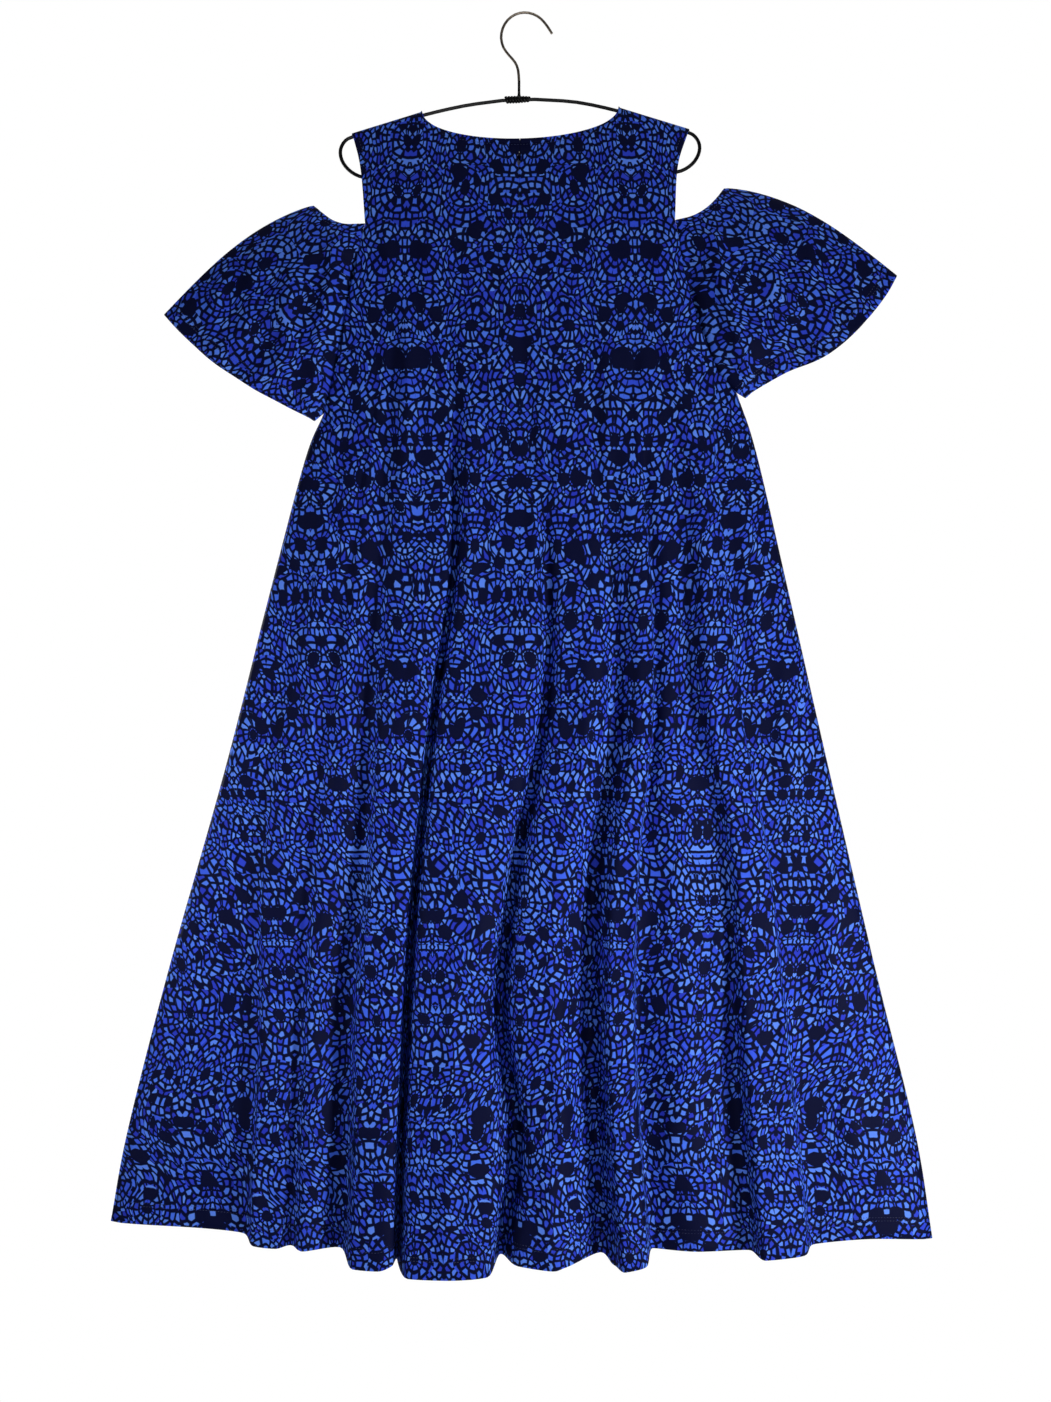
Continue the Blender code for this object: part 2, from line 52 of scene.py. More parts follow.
# Camera and soft light. The photograph is 1051 x 1402 and 1.05 mm to the pixel at the hanger
studio = {
    "cameraPlace": (-0.0016, -1.7, -0.7215),
    "frameHeight": 1.4721,
    "sensor": 36,
    "floorHeight": -1.75,
    "floorRadius": 0.62,  # the floor ends below the photograph's frame
    "floorColour": "#F4F4F3",
    # place, what it faces, size, power in watts, spread in degrees, colour
    "lights": {
        "keyLight": ((1.5, -1.15, -1.4), (0.1, 0, -0.85), 0.35, 8, 80, "#FFFDF8"),
        "frontLight": ((0.4, -2.4, -1.3), (0, 0, -0.7), 0.8, 14, 180, "#FFFFFF"),
        "leftLight": ((-1.5, -0.75, -1), (-0.4, 0, -0.85), 0.4, 1.3, 50, "#FFFFFF"),
        "topLight": ((0, 0.1, 1.6), (0, 0, -0.6), 1.6, 14, 180, "#FFFFFF"),
        "farLeft": ((-1.3, 1.7, -0.6), (0, 0, -0.9), 1, 22, 180, "#FFFFFF"),
        "farRight": ((1.3, 1.9, -1.2), (0, 0, -0.9), 1, 10, 180, "#FFFFFF"),
    },
    "skyColour": "#FFFFFF",
    "skyStrength": 0.18,
}


def srgb(code, alpha=1.0):
    parts = [int(code[i : i + 2], 16) / 255 for i in (1, 3, 5)]
    linear = [c / 12.92 if c <= 0.04045 else ((c + 0.055) / 1.055) ** 2.4 for c in parts]
    return (*linear, alpha)


# links gives each input a value or the socket that feeds it
def addNode(material, kind, links=None, **settings):
    tree = material.node_tree
    node = tree.nodes.new(kind)
    for name, value in settings.items():
        setattr(node, name, value)
    for key, value in (links or {}).items():
        if isinstance(value, bpy.types.NodeSocket):
            tree.links.new(value, node.inputs[key])
        else:
            node.inputs[key].default_value = value
    return node


def newMaterial(name, values):
    material = bpy.data.materials.new(name)
    material.use_nodes = True
    shader = material.node_tree.nodes["Principled BSDF"]
    for key, value in values.items():
        shader.inputs[key].default_value = value
    return material, shader


def feed(shader, sockets):
    for key, socket in sockets.items():
        shader.id_data.links.new(socket, shader.inputs[key])


# A value between 0 and 1 turned into a colour. The stops are pairs of place and colour
def colourRamp(material, value, stops):
    ramp = addNode(material, "ShaderNodeValToRGB", {"Fac": value})
    elements = ramp.color_ramp.elements
    for share, colour in stops[1:-1]:
        elements.new(share)
    for element, (share, colour) in zip(elements, stops):
        element.position, element.color = share, srgb(colour)
    return ramp.outputs["Color"]


def newObject(name, data):
    found = bpy.data.objects.new(name, data)
    bpy.context.scene.collection.objects.link(found)
    return found


def makeStudio():
    camera = newObject("photoCamera", bpy.data.cameras.new("photoCamera"))
    camera.location = studio["cameraPlace"]
    camera.rotation_euler = (math.pi / 2, 0, 0)
    camera.data.sensor_width = studio["sensor"]
    camera.data.lens = studio["sensor"] * abs(studio["cameraPlace"][1]) / studio["frameHeight"]
    camera.data.clip_end = 30
    bpy.context.scene.camera = camera

    for name, (place, target, size, power, spread, colour) in studio["lights"].items():
        lamp = bpy.data.lights.new(name, "AREA")
        lamp.size, lamp.energy, lamp.spread = size, power, math.radians(spread)
        lamp.color = srgb(colour)[:3]
        found = newObject(name, lamp)
        found.location = place
        facing = Vector(target) - found.location
        found.rotation_euler = facing.to_track_quat("-Z", "Y").to_euler()
    world = bpy.data.worlds.new("softRoom")
    world.use_nodes = True
    light = world.node_tree.nodes["Background"]
    light.inputs["Color"].default_value = srgb(studio["skyColour"])
    light.inputs["Strength"].default_value = studio["skyStrength"]
    # the room gives a low even light, and is itself seen as white paper all round
    paper = addNode(world, "ShaderNodeBackground", {"Color": srgb(studio["skyColour"])})
    path = addNode(world, "ShaderNodeLightPath")
    choice = {0: path.outputs["Is Camera Ray"], 1: light.outputs[0], 2: paper.outputs[0]}
    seen = addNode(world, "ShaderNodeMixShader", choice)
    feed(world.node_tree.nodes["World Output"], {"Surface": seen.outputs[0]})
    bpy.context.scene.world = world
    bpy.context.scene.view_settings.view_transform = "Standard"

    height = studio["floorHeight"]
    bpy.ops.mesh.primitive_circle_add(
        vertices=96, radius=studio["floorRadius"], fill_type="NGON", location=(0, 0, height)
    )
    floor = bpy.context.object
    floor.name = "paleFloor"
    bpy.ops.object.transform_apply(location=True, rotation=True, scale=True)
    # a board painted matt white
    colour = srgb(studio["floorColour"])
    board = newMaterial("paintedBoard", {"Roughness": 0.8, "Base Color": colour})[0]
    floor.data.materials.append(board)
    deselectAll()


makeStudio()
print("studio done")

# Cloth of the dress: smooth double-knit jersey, printed on the face, pale on the back.
# The print is a plain mosaic of small pebbles laid in rings round scattered hearts, blue on
# midnight, and mirrored about upright lines. Sizes in mm
mosaic = {
    "mirrorHalf": 121,
    "warpSize": 40,
    "warpReach": 17,
    "roseSpacing": 45,
    "roseTall": 1.35,  # hearts stand this much further apart down the cloth than across it
    "roseScatter": 0.6,
    "ringOffset": 90,  # how differently the rings of two hearts are filled
    "ringPitch": 5.6,
    "pebblesToRadian": 1.9,
    "doubledFrom": 17,  # twice as many pebbles to a ring from this radius
    "unevenness": 0.5,
    "line": (0.15, 0.25),  # edge of a pebble, as shares of its size
    "heart": 5.2,
    "blackSpacing": 21,
    "blackShare": 0.13,
    "blackReach": 0.42,
    "missing": 0.05,
    "ground": "#040829",
    "blues": [(0, "#222EAA"), (0.3, "#2E49CC"), (0.65, "#3E66D8"), (1, "#557EDE")],
    "reverse": [(0, "#A9ADC2"), (1, "#8E93AE")],
    "reverseScale": 190,
    "knitPitch": (1.5, 1.2),
    "knitDepth": 0.06,
}


def clothMaterials():
    spec = mosaic
    # a close smooth knit: matt and deep in colour, with next to no shine
    looks = {"Roughness": 0.7, "IOR": 1.5, "Specular IOR Level": 0.05}
    face, shader = newMaterial("printedDoubleKnit", looks)

    def calc(operation, a, b=0.0):
        return addNode(face, "ShaderNodeMath", {0: a, 1: b}, operation=operation).outputs[0]

    def vec(operation, a, b=(0, 0, 0), scale=None):
        links = {0: a, 1: b} if scale is None else {0: a, "Scale": scale}
        node = addNode(face, "ShaderNodeVectorMath", links, operation=operation)
        return node.outputs["Value" if operation == "LENGTH" else "Vector"]

    def cells(place, randomness, feature="F1"):
        links = {"Vector": place, "Scale": 1.0, "Randomness": randomness}
        flat = {"voronoi_dimensions": "2D", "feature": feature}
        return addNode(face, "ShaderNodeTexVoronoi", links, **flat).outputs

    def apart(vector):
        return addNode(face, "ShaderNodeSeparateXYZ", {0: vector}).outputs

    uvMap = addNode(face, "ShaderNodeUVMap", uv_map="clothMap").outputs["UV"]
    parts = apart(vec("SCALE", uvMap, scale=1 / mm))
    across = calc("PINGPONG", parts["X"], spec["mirrorHalf"])
    tile = addNode(face, "ShaderNodeCombineXYZ", {"X": across, "Y": parts["Y"]}).outputs[0]
    links = {"Vector": tile, "Scale": 1 / spec["warpSize"], "Detail": 1.0}
    drift = addNode(face, "ShaderNodeTexNoise", links, noise_dimensions="2D").outputs["Color"]
    drift = vec("SUBTRACT", drift, (0.5, 0.5, 0.5))
    bent = vec("ADD", tile, vec("SCALE", drift, scale=spec["warpReach"]))

    # each heart has its own rings, alike on its left and right
    spacing = spec["roseSpacing"]
    roseField = vec("MULTIPLY", bent, (1 / spacing, 1 / spacing / spec["roseTall"], 0.0))
    rose = cells(roseField, spec["roseScatter"])
    fromHeart = vec("SCALE", vec("SUBTRACT", roseField, rose["Position"]), scale=spacing)
    radius = vec("LENGTH", fromHeart)
    leg = apart(fromHeart)
    angle = calc("ABSOLUTE", calc("ARCTAN2", leg["X"], leg["Y"]))
    doubled = calc("ADD", 1.0, calc("GREATER_THAN", radius, spec["doubledFrom"]))
    turn = calc("MULTIPLY", calc("MULTIPLY", angle, spec["pebblesToRadian"]), doubled)
    ring = calc("DIVIDE", radius, spec["ringPitch"])
    polar = addNode(face, "ShaderNodeCombineXYZ", {"X": ring, "Y": turn}).outputs[0]
    place = vec("ADD", polar, vec("SCALE", rose["Color"], scale=spec["ringOffset"]))

    pebbles = cells(place, spec["unevenness"])
    edges = cells(place, spec["unevenness"], "DISTANCE_TO_EDGE")
    low, high = spec["line"]
    links = {"Value": edges["Distance"], "From Min": low, "From Max": high}
    pebble = addNode(face, "ShaderNodeMapRange", links, interpolation_type="SMOOTHSTEP").outputs[0]
    chance = apart(pebbles["Color"])
    pebble = calc("MULTIPLY", pebble, calc("GREATER_THAN", chance["Y"], spec["missing"]))
    pebble = calc("MULTIPLY", pebble, calc("GREATER_THAN", radius, spec["heart"]))
    blots = cells(vec("SCALE", bent, scale=1 / spec["blackSpacing"]), 1.0)
    blot = calc("LESS_THAN", apart(blots["Color"])["X"], spec["blackShare"])
    blot = calc("MULTIPLY", blot, calc("LESS_THAN", blots["Distance"], spec["blackReach"]))
    pebble = calc("MULTIPLY", pebble, calc("SUBTRACT", 1.0, blot))
    blue = colourRamp(face, chance["X"], spec["blues"])
    # a colour Mix node has its two colours on inputs 6 and 7, and gives the result on output 2
    links = {"Factor": pebble, 6: srgb(spec["ground"]), 7: blue}
    ink = addNode(face, "ShaderNodeMix", data_type="RGBA", links=links).outputs[2]

    # the knit's fine pitch, drawn about twice as coarse as it is, so that it shows up close
    pitchAcross, pitchDown = spec["knitPitch"]
    rib = calc("SINE", calc("MULTIPLY", parts["X"], 2 * math.pi / pitchAcross))
    course = calc("SINE", calc("MULTIPLY", parts["Y"], 2 * math.pi / pitchDown))
    knit = calc("MULTIPLY", rib, course)
    links = {"Strength": 0.25, "Distance": spec["knitDepth"] * mm, "Height": knit}
    bump = addNode(face, "ShaderNodeBump", links).outputs["Normal"]
    feed(shader, {"Base Color": ink, "Normal": bump})

    # the unprinted side: pale, soft, with a breath of the print showing through
    back, shader = newMaterial("paleKnitReverse", {"Roughness": 0.85, "Sheen Weight": 0.15})
    uvMap = addNode(back, "ShaderNodeUVMap", uv_map="clothMap").outputs["UV"]
    links = {"Vector": uvMap, "Scale": spec["reverseScale"]}
    show = addNode(back, "ShaderNodeTexVoronoi", links, voronoi_dimensions="2D")
    feed(shader, {"Base Color": colourRamp(back, show.outputs["Distance"], spec["reverse"])})
    return face, back


clothFace, clothBack = clothMaterials()
print("cloth materials done")


# The curve from a to b, with a slope at each end
def blend(t, a, slopeA, b, slopeB):
    return (
        (2 * t**3 - 3 * t**2 + 1) * a
        + (t**3 - 2 * t**2 + t) * slopeA
        + (3 * t**2 - 2 * t**3) * b
        + (t**3 - t**2) * slopeB
    )


# A smooth curve through the points, with this many steps from each to the next
def through(points, steps):
    points = np.asarray(points, float)
    steps = np.broadcast_to(steps, len(points) - 1)
    before = np.vstack([2 * points[0] - points[1], points[:-1]])
    after = np.vstack([points[1:], 2 * points[-1] - points[-2]])
    slopes = (after - before) / 2
    found = [points[0]]
    for i, count in enumerate(steps):
        for t in np.arange(1, count + 1) / count:
            found.append(blend(t, points[i], slopes[i], points[i + 1], slopes[i + 1]))
    return np.array(found)


def unit(v):
    return v / np.maximum(np.linalg.norm(v, axis=-1, keepdims=True), 1e-9)


# How far along its own line each point lies
def lengths(points, axis=0):
    legs = np.linalg.norm(np.diff(points, axis=axis), axis=-1)
    return np.insert(np.cumsum(legs, axis=axis), 0, 0.0, axis=axis)


# Both panels, in mm: a row for each level, from the shoulder to the hem
panelShape = {
    "wall": 1.3,  # of the sleeves too
    "rimRoundness": 0.45,
    "wrapRadius": 3.8,  # over the hanger's wire
    "wrapRows": 8,
    "columns": ("left", "leftHeight", "right", "rightHeight", "gape", "depth"),
    "corners": (0, 2, 7, 13),  # the outline turns sharply at these rows
    "outline": [
        (-183.5, -125.6, 170.1, -121.1, 3.8, 6, 2),
        (-174.3, -164, 157.8, -162, 6.5, 10.5, 3),
        (-169, -223.2, 154.4, -219.6, 11, 14, 1),  # notch at the sleeve
        (-171.8, -236, 157, -232, 12, 15, 2),
        (-185.9, -300, 168.5, -292, 12.5, 18, 2),
        (-203, -385, 196, -369, 8, 21, 1),
        (-209.5, -408, 210, -388, 5, 21.5, 1),
        (-214, -421, 220.5, -399, 0.15, 22, 1),  # underarm
        (-233, -468, 240.5, -460, 0.15, 23, 2),
        (-268, -600, 273, -600, 0.15, 24, 3),
        (-317, -793, 317, -793, 0.15, 25, 3),
        (-376, -1003, 366, -1003, 0.15, 25, 3),
        (-419, -1172, 407.5, -1172, 0.15, 25, 2),
        (-437, -1268.5, 425.6, -1283, 0.15, 24, 0),
    ],
    "rowsPerStep": 8,
    "columnsPerStation": 7,
    "foldHeights": (-125, -306, -441, -576, -720, -885, -1028, -1151, -1268),
    "foldGrowth": (0, 0.03, 0.15, 0.32, 0.52, 0.73, 0.87, 0.95, 1),
    "foldSteps": 40,
    "roundness": 2.4,
    "fullness": (1, 0.5),  # how blunt the side is at the notch and at the underarm
    "seam": 0.04,
    "neckLeft": (-110.3, -103),
    "neckRight": (96.2, -98.4),
    "neckMargin": 0.5,
    "neckGape": 8,
    "neckFadeEnd": -300,
    "neckFading": 1.3,
    "turning": 0.9,  # the turned-in layer at the free edges
    "turningSlope": 3,
    "hemFacing": 24,
    "edgeFacing": 9,
}

# Stations across a panel, in mm: where each one runs at the fold heights, how far it stands
# out at the hem, and how low the hem is there
backPanel = {
    "side": -1,
    "neckDepth": 33,
    "stations": [
        (-183.5, -186, -222, -262, -297, -342, -385, -416, -437, 0, -1267),  # side seam
        (-174, -179, -204, -239, -272, -306, -327, -344, -356, 2, -1268),
        (-163, -172, -190, -220, -253, -278, -281, -287, -293, 3, -1273),  # first step
        (-152, -167, -180, -210, -242, -267, -270, -276, -281, 16, -1282),
        (-142, -158, -169, -194, -222, -243, -248, -252, -258, 17, -1284),
        (-132, -151, -164, -184, -207, -224, -233, -238, -243, 11, -1282),
        (-121, -143, -159, -173, -191, -207, -219, -223, -229, 27, -1283),
        (-110.3, -132, -144, -152, -162, -171, -185, -187, -193, 4, -1286),  # shaded rise, left
        (-95, -119, -127, -135, -146, -155, -169, -171, -177, 35, -1298),
        (-82, -99, -99, -104, -118, -132, -142, -147, -151, 38, -1299),
        (-70, -87, -82, -82, -101, -118, -128, -133, -136, 31, -1295),
        (-60, -79, -75, -75, -96, -115, -125, -131, -135, -6, -1301),  # deepest rise
        (-48, -67, -61, -61, -83, -101, -111, -117, -121, 39, -1306),
        (-34, -42, -33, -27, -40, -63, -75, -74, -79, 41, -1307),
        (-20, -22, -7, 6, 4, -25, -42, -32, -40, 34, -1306),
        (-7.5, -8, 4, 19, 19, -12, -28, -12, -27, 2, -1293),  # the slit, then the middle rise
        (4, 3, 21, 36, 35, 4, -11, 5, -10, 33, -1295),
        (15, 26, 50, 64, 64, 35, 20, 31, 26, 37, -1299),
        (25, 36, 58, 73, 74, 45, 32, 41, 40, 31, -1297),
        (35, 50, 71, 86, 90, 70, 64, 70, 76, 0, -1292),
        (46, 62, 82, 97, 101, 80, 75, 80, 89, 10, -1302),  # right rise
        (58, 76, 99, 112, 115, 91, 85, 90, 99, 35, -1301),
        (69, 94, 113, 124, 128, 112, 107, 112, 121, 31, -1297),
        (80, 104, 120, 129, 133, 118, 115, 120, 130, 0, -1288),
        (88, 114, 132, 144, 151, 158, 160, 167, 176, 12, -1288),
        (96.2, 125, 151, 162, 174, 203, 210, 218, 229, 2, -1290),  # last rise
        (112, 135, 169, 179, 190, 217, 224, 232, 242, 29, -1292),
        (128, 147, 189, 202, 216, 246, 259, 271, 283, 25, -1289),
        (142, 154, 195, 209, 224, 254, 270, 284, 297, 2, -1285),
        (156, 161, 212, 236, 257, 292, 319, 340, 356, 2, -1281),
        (170.1, 169, 233, 268, 299, 336, 375, 405, 424, 0, -1285),  # side seam
    ],
    "slitStation": 15,
    "slit": [  # height and half width
        (-131.5, 1.9), (-133.5, 0.3), (-136, 0.02), (-148.5, 0.02), (-149.5, 2.2),
        (-155, 2.6), (-160, 2.3), (-163, 0.1), (-236, 0.02),
    ],
    "creases": [  # half width and height of a soft ridge, then x and z along its path
        (8, 3.8, -155, -233, -142, -266, -130, -304),
        (10, 6.9, -128, -288, -125, -346, -124, -409, -127, -482, -133, -560),
        (10, 6.9, 179, -435, 182, -555, 185, -638, 188, -787, 194, -844),
        (8, 6.5, -58, -409, -58, -482, -59, -576, -59, -658),
        (8, 5.2, 11, -404, 11, -482, 9, -576, 9, -700),
        (8, 4.6, 85, -346, 84, -409, 82, -482, 79, -576),
        (7, 4.3, 121, -357, 120, -430, 117, -482),
        (8, 2.6, 48, -262, 46, -336),
        (8, 2.6, -19, -225, -19, -315, -22, -409),
        (9, 2.5, -101, -231, -104, -336),
        (8, 2.3, 76, -199, 76, -304),
        (8, 3.2, 147, -229, 138, -266, 132, -317),
        (8, 3.2, -184, -482, -183, -576),
        (10, 4.1, -215, -492, -218, -576, -228, -658),
        (9, 4.9, -111, -576, -112, -669, -121, -741),
        (9, 3.2, 34, -440, 32, -534),
        (10, 4.1, 223, -492, 233, -596, 242, -700),
        (8, 5.2, -220, -648, -221, -741, -221, -813),
        (7, 4.9, -195, -762, -186, -823, -176, -895),
        (9, 3.2, -287, -565, -289, -658),
        (8, 4.1, -136, -638, -134, -720, -133, -782),
        (7, 4.9, -10, -607, -11, -720, -20, -813),
        (7, 4.9, 58, -658, 60, -741, 55, -803),
        (9, 4.6, 137, -658, 139, -762, 137, -844),
        (12, 4.6, 202, -576, 208, -658, 215, -741),
        (9, 4.9, 270, -658, 269, -741, 277, -823),
        (9, 4.1, -244, -823, -249, -926),
        (10, 4.1, -304, -803, -313, -905),
        (10, 4.1, -346, -926, -355, -1048),
        (8, 3.8, -321, -977, -327, -1058),
        (8, 5.5, -263, -967, -263, -1068, -271, -1150),
        (8, 4.6, -76, -977, -77, -1068, -80, -1129),
        (9, 4.6, -48, -885, -48, -987),
        (8, 4.6, 34, -967, 35, -1089, 40, -1190),
        (8, 4.6, 116, -864, 114, -946, 110, -1018),
        (8, 5.5, 153, -1058, 153, -1160, 148, -1231),
        (8, 4.3, 167, -987, 169, -1129, 170, -1251),
        (9, 5.5, 200, -864, 202, -977, 202, -1068),
        (8, 5.5, 267, -967, 267, -1058, 274, -1139),
        (12, 4.9, 311, -885, 315, -987, 322, -1079),
        (10, 4.6, 334, -1089, 337, -1160, 346, -1241),
        (10, 4.3, 363, -1150, 370, -1251),
        (9, 4.6, -367, -1200, -368, -1256),
        (9, 5.8, -279, -1180, -280, -1266),
        (8, 5.2, -81, -1180, -83, -1301),
        (7, 4.3, 21, -1180, 22, -1291),
    ],
}
frontPanel = {
    "side": 1,
    "neckDepth": 43,
    "stations": [
        (-183.5, -186, -222, -262, -297, -342, -385, -416, -437, 0, -1267),
        (-168, -169, -194, -222, -252, -287, -319, -343, -359, 2, -1270),
        (-156, -160, -178, -200, -226, -256, -281, -301, -315, 3, -1275),
        (-148, -158, -174, -195, -221, -250, -274, -292, -306, 24, -1286),
        (-138, -152, -164, -181, -205, -230, -250, -266, -278, 30, -1290),
        (-126, -144, -152, -165, -188, -210, -226, -240, -250, 26, -1288),
        (-110.3, -112, -124, -139, -164, -186, -202, -216, -226, 2, -1284),
        (-98, -101, -111, -124, -141, -161, -177, -187, -197, 0, -1286),
        (-90, -99, -109, -122, -138, -157, -173, -182, -193, 32, -1298),
        (-76, -91, -100, -112, -124, -141, -157, -164, -175, 40, -1303),
        (-62, -79, -88, -99, -106, -122, -138, -142, -154, 34, -1300),
        (-48, -54, -65, -78, -87, -103, -119, -123, -135, -4, -1292),
        (-36, -38, -42, -52, -61, -73, -80, -87, -96, 0, -1291),
        (-28, -36, -39, -48, -58, -70, -75, -82, -91, 28, -1299),
        (-17, -24, -23, -29, -40, -48, -46, -56, -62, 35, -1302),
        (-7.5, -12, -6, -11, -22, -28, -20, -32, -36, 30, -1300),
        (8, 20, 22, 15, 2, -4, 4, -8, -12, 2, -1292),
        (20, 27, 34, 35, 29, 26, 35, 25, 25, 1, -1292),
        (30, 28, 35, 38, 33, 30, 39, 30, 31, 33, -1300),
        (46, 35, 45, 54, 56, 56, 65, 59, 63, 42, -1304),
        (62, 45, 58, 75, 84, 86, 96, 92, 100, 36, -1301),
        (78, 70, 81, 96, 103, 105, 115, 111, 119, 0, -1291),
        (87, 85, 103, 117, 133, 143, 160, 164, 176, 0, -1290),
        (96.2, 87, 105, 119, 135, 147, 165, 169, 181, 26, -1294),
        (108, 94, 116, 129, 150, 165, 186, 194, 208, 32, -1296),
        (120, 102, 126, 139, 162, 180, 204, 214, 230, 28, -1294),
        (132, 134, 154, 165, 186, 204, 228, 238, 254, 3, -1286),
        (150, 151, 194, 217, 242, 270, 302, 322, 339, 3, -1284),
        (170.1, 169, 233, 268, 299, 336, 375, 405, 424, 0, -1285),
    ],
    "creases": [
        (9, 3.8, -149, -252, -134, -304, -128, -388),
        (9, 3.5, -78, -262, -74, -367, -80, -482),
        (9, 3.8, 141, -241, 128, -304, 124, -388),
        (8, 3.5, 66, -283, 70, -388, 76, -492),
        (9, 4.3, -7, -336, -5, -451, -9, -576),
        (9, 6.1, -121, -430, -127, -534, -135, -658),
        (8, 4.9, -43, -492, -44, -617, -55, -741),
        (8, 4.9, 34, -513, 40, -638, 36, -762),
        (9, 5.8, 117, -440, 127, -576, 133, -700),
        (10, 4.6, 196, -492, 208, -617, 215, -741),
        (10, 4.6, -204, -534, -212, -658, -217, -782),
        (10, 3.8, -268, -658, -277, -782),
        (8, 5.2, -180, -782, -188, -905, -196, -1007),
        (8, 5.2, -92, -844, -97, -967, -99, -1089),
        (8, 5.2, 13, -885, 11, -1007, 19, -1129),
        (9, 4.9, 87, -823, 91, -946, 87, -1068),
        (9, 5.2, 168, -803, 178, -926, 179, -1048),
        (10, 4.6, 250, -782, 260, -905, 269, -1028),
        (9, 4.1, -299, -885, -309, -1007),
        (9, 4.6, -339, -1068, -348, -1190),
        (8, 5.5, -243, -1089, -248, -1231),
        (8, 4.9, -146, -1129, -150, -1271),
        (8, 5.2, -38, -1150, -36, -1281),
        (7, 4.6, 58, -1170, 60, -1281),
        (8, 5.2, 138, -1109, 140, -1261),
        (9, 5.2, 226, -1089, 231, -1251),
        (10, 4.9, 310, -1028, 322, -1190),
    ],
}
grainLine = -7.5  # the centre of both panels, where the print is centred
# from the top of the hanger's wire to where the cloth leaves it
wrapAngles = math.pi / 2 * np.linspace(1, 0, panelShape["wrapRows"] + 1)[:, None]


# The panels' rows: the first ones pass over the hanger's wire
def outlineRows():
    shape = panelShape
    outline = np.array(shape["outline"], float)
    corners = shape["corners"]
    rows, counts = outline[:1, :6], []
    for start, end in zip(corners, corners[1:]):
        steps = [int(n) * shape["rowsPerStep"] for n in outline[start:end, 6]]
        rows = np.vstack([rows, through(outline[start : end + 1, :6], steps)[1:]])
        counts.append(sum(steps))
    wrap = shape["wrapRows"]
    rows = np.vstack([np.repeat(rows[:1], wrap, axis=0), rows])
    rows[:, 4] = np.maximum(rows[:, 4], shape["seam"] / 2)
    over = shape["wrapRadius"]
    rows[: wrap + 1, [1, 3]] -= over * (1 - np.sin(wrapAngles))
    rows[: wrap + 1, [4, 5]] = shape["seam"] / 2 + over * np.cos(wrapAngles)
    found = {name: rows[:, i] for i, name in enumerate(shape["columns"])}
    return found, wrap + counts[0], wrap + counts[0] + counts[1]


rows, notchRow, underarmRow = outlineRows()
rowCount = len(rows["left"])


# Curves across the stations that never overshoot one, with count steps from each to the next
def between(values, count):
    steps = np.diff(values, axis=1)
    before, after = steps[:, :-1], steps[:, 1:]
    same = before * after > 0
    slopes = np.zeros_like(values)
    slopes[:, 1:-1] = np.where(same, 2 * before * after / np.where(same, before + after, 1), 0)
    slopes[:, 0], slopes[:, -1] = steps[:, 0], steps[:, -1]
    parts = [
        blend(t, values[:, :-1], slopes[:, :-1], values[:, 1:], slopes[:, 1:])
        for t in np.arange(1, count + 1) / count
    ]
    body = np.stack(parts, axis=2).reshape(len(values), -1)
    return np.concatenate([values[:, :1], body], axis=1)


# How far the columns' tops stand above the line between the shoulder ends, and how far they gape
def neckShape(x, neckDepth):
    first = panelShape["outline"][0]
    ends = [first[:2], panelShape["neckLeft"], panelShape["neckRight"], first[2:4]]
    places, heights = np.array(ends).T
    share = np.clip((x - places[1]) / (places[2] - places[1]), 0, 1)
    top = np.interp(x, places, heights) - neckDepth * np.sqrt(1 - (2 * share - 1) ** 2)
    line = np.interp(x, places[[0, 3]], heights[[0, 3]])
    return top - line, panelShape["neckGape"] * np.abs(np.sin(math.pi * share)) ** 0.5


creasing = {"steps": 10, "ends": (0.02, 0.98), "fading": 0.8}


# Soft troughs and ridges along given lines, in mm
def pressCreases(points, creases, side):
    x, z = points[..., 0] / mm, points[..., 2] / mm
    push = np.zeros_like(x)
    for width, height, *path in creases:
        line = through(np.reshape(path, (-1, 2)), creasing["steps"])
        nearest = np.full(x.shape, np.inf)
        along = np.zeros_like(x)
        for i in range(len(line) - 1):
            a, leg = line[i], line[i + 1] - line[i]
            t = np.clip(((x - a[0]) * leg[0] + (z - a[1]) * leg[1]) / (leg @ leg), 0, 1)
            gap = (x - a[0] - t * leg[0]) ** 2 + (z - a[1] - t * leg[1]) ** 2
            closer = gap < nearest
            nearest = np.where(closer, gap, nearest)
            along = np.where(closer, (i + t) / (len(line) - 1), along)
        fade = np.sin(math.pi * np.clip(along, *creasing["ends"])) ** creasing["fading"]
        push += height * np.exp(-nearest / width**2) * fade
    points[..., 1] += side * push * mm
    return points


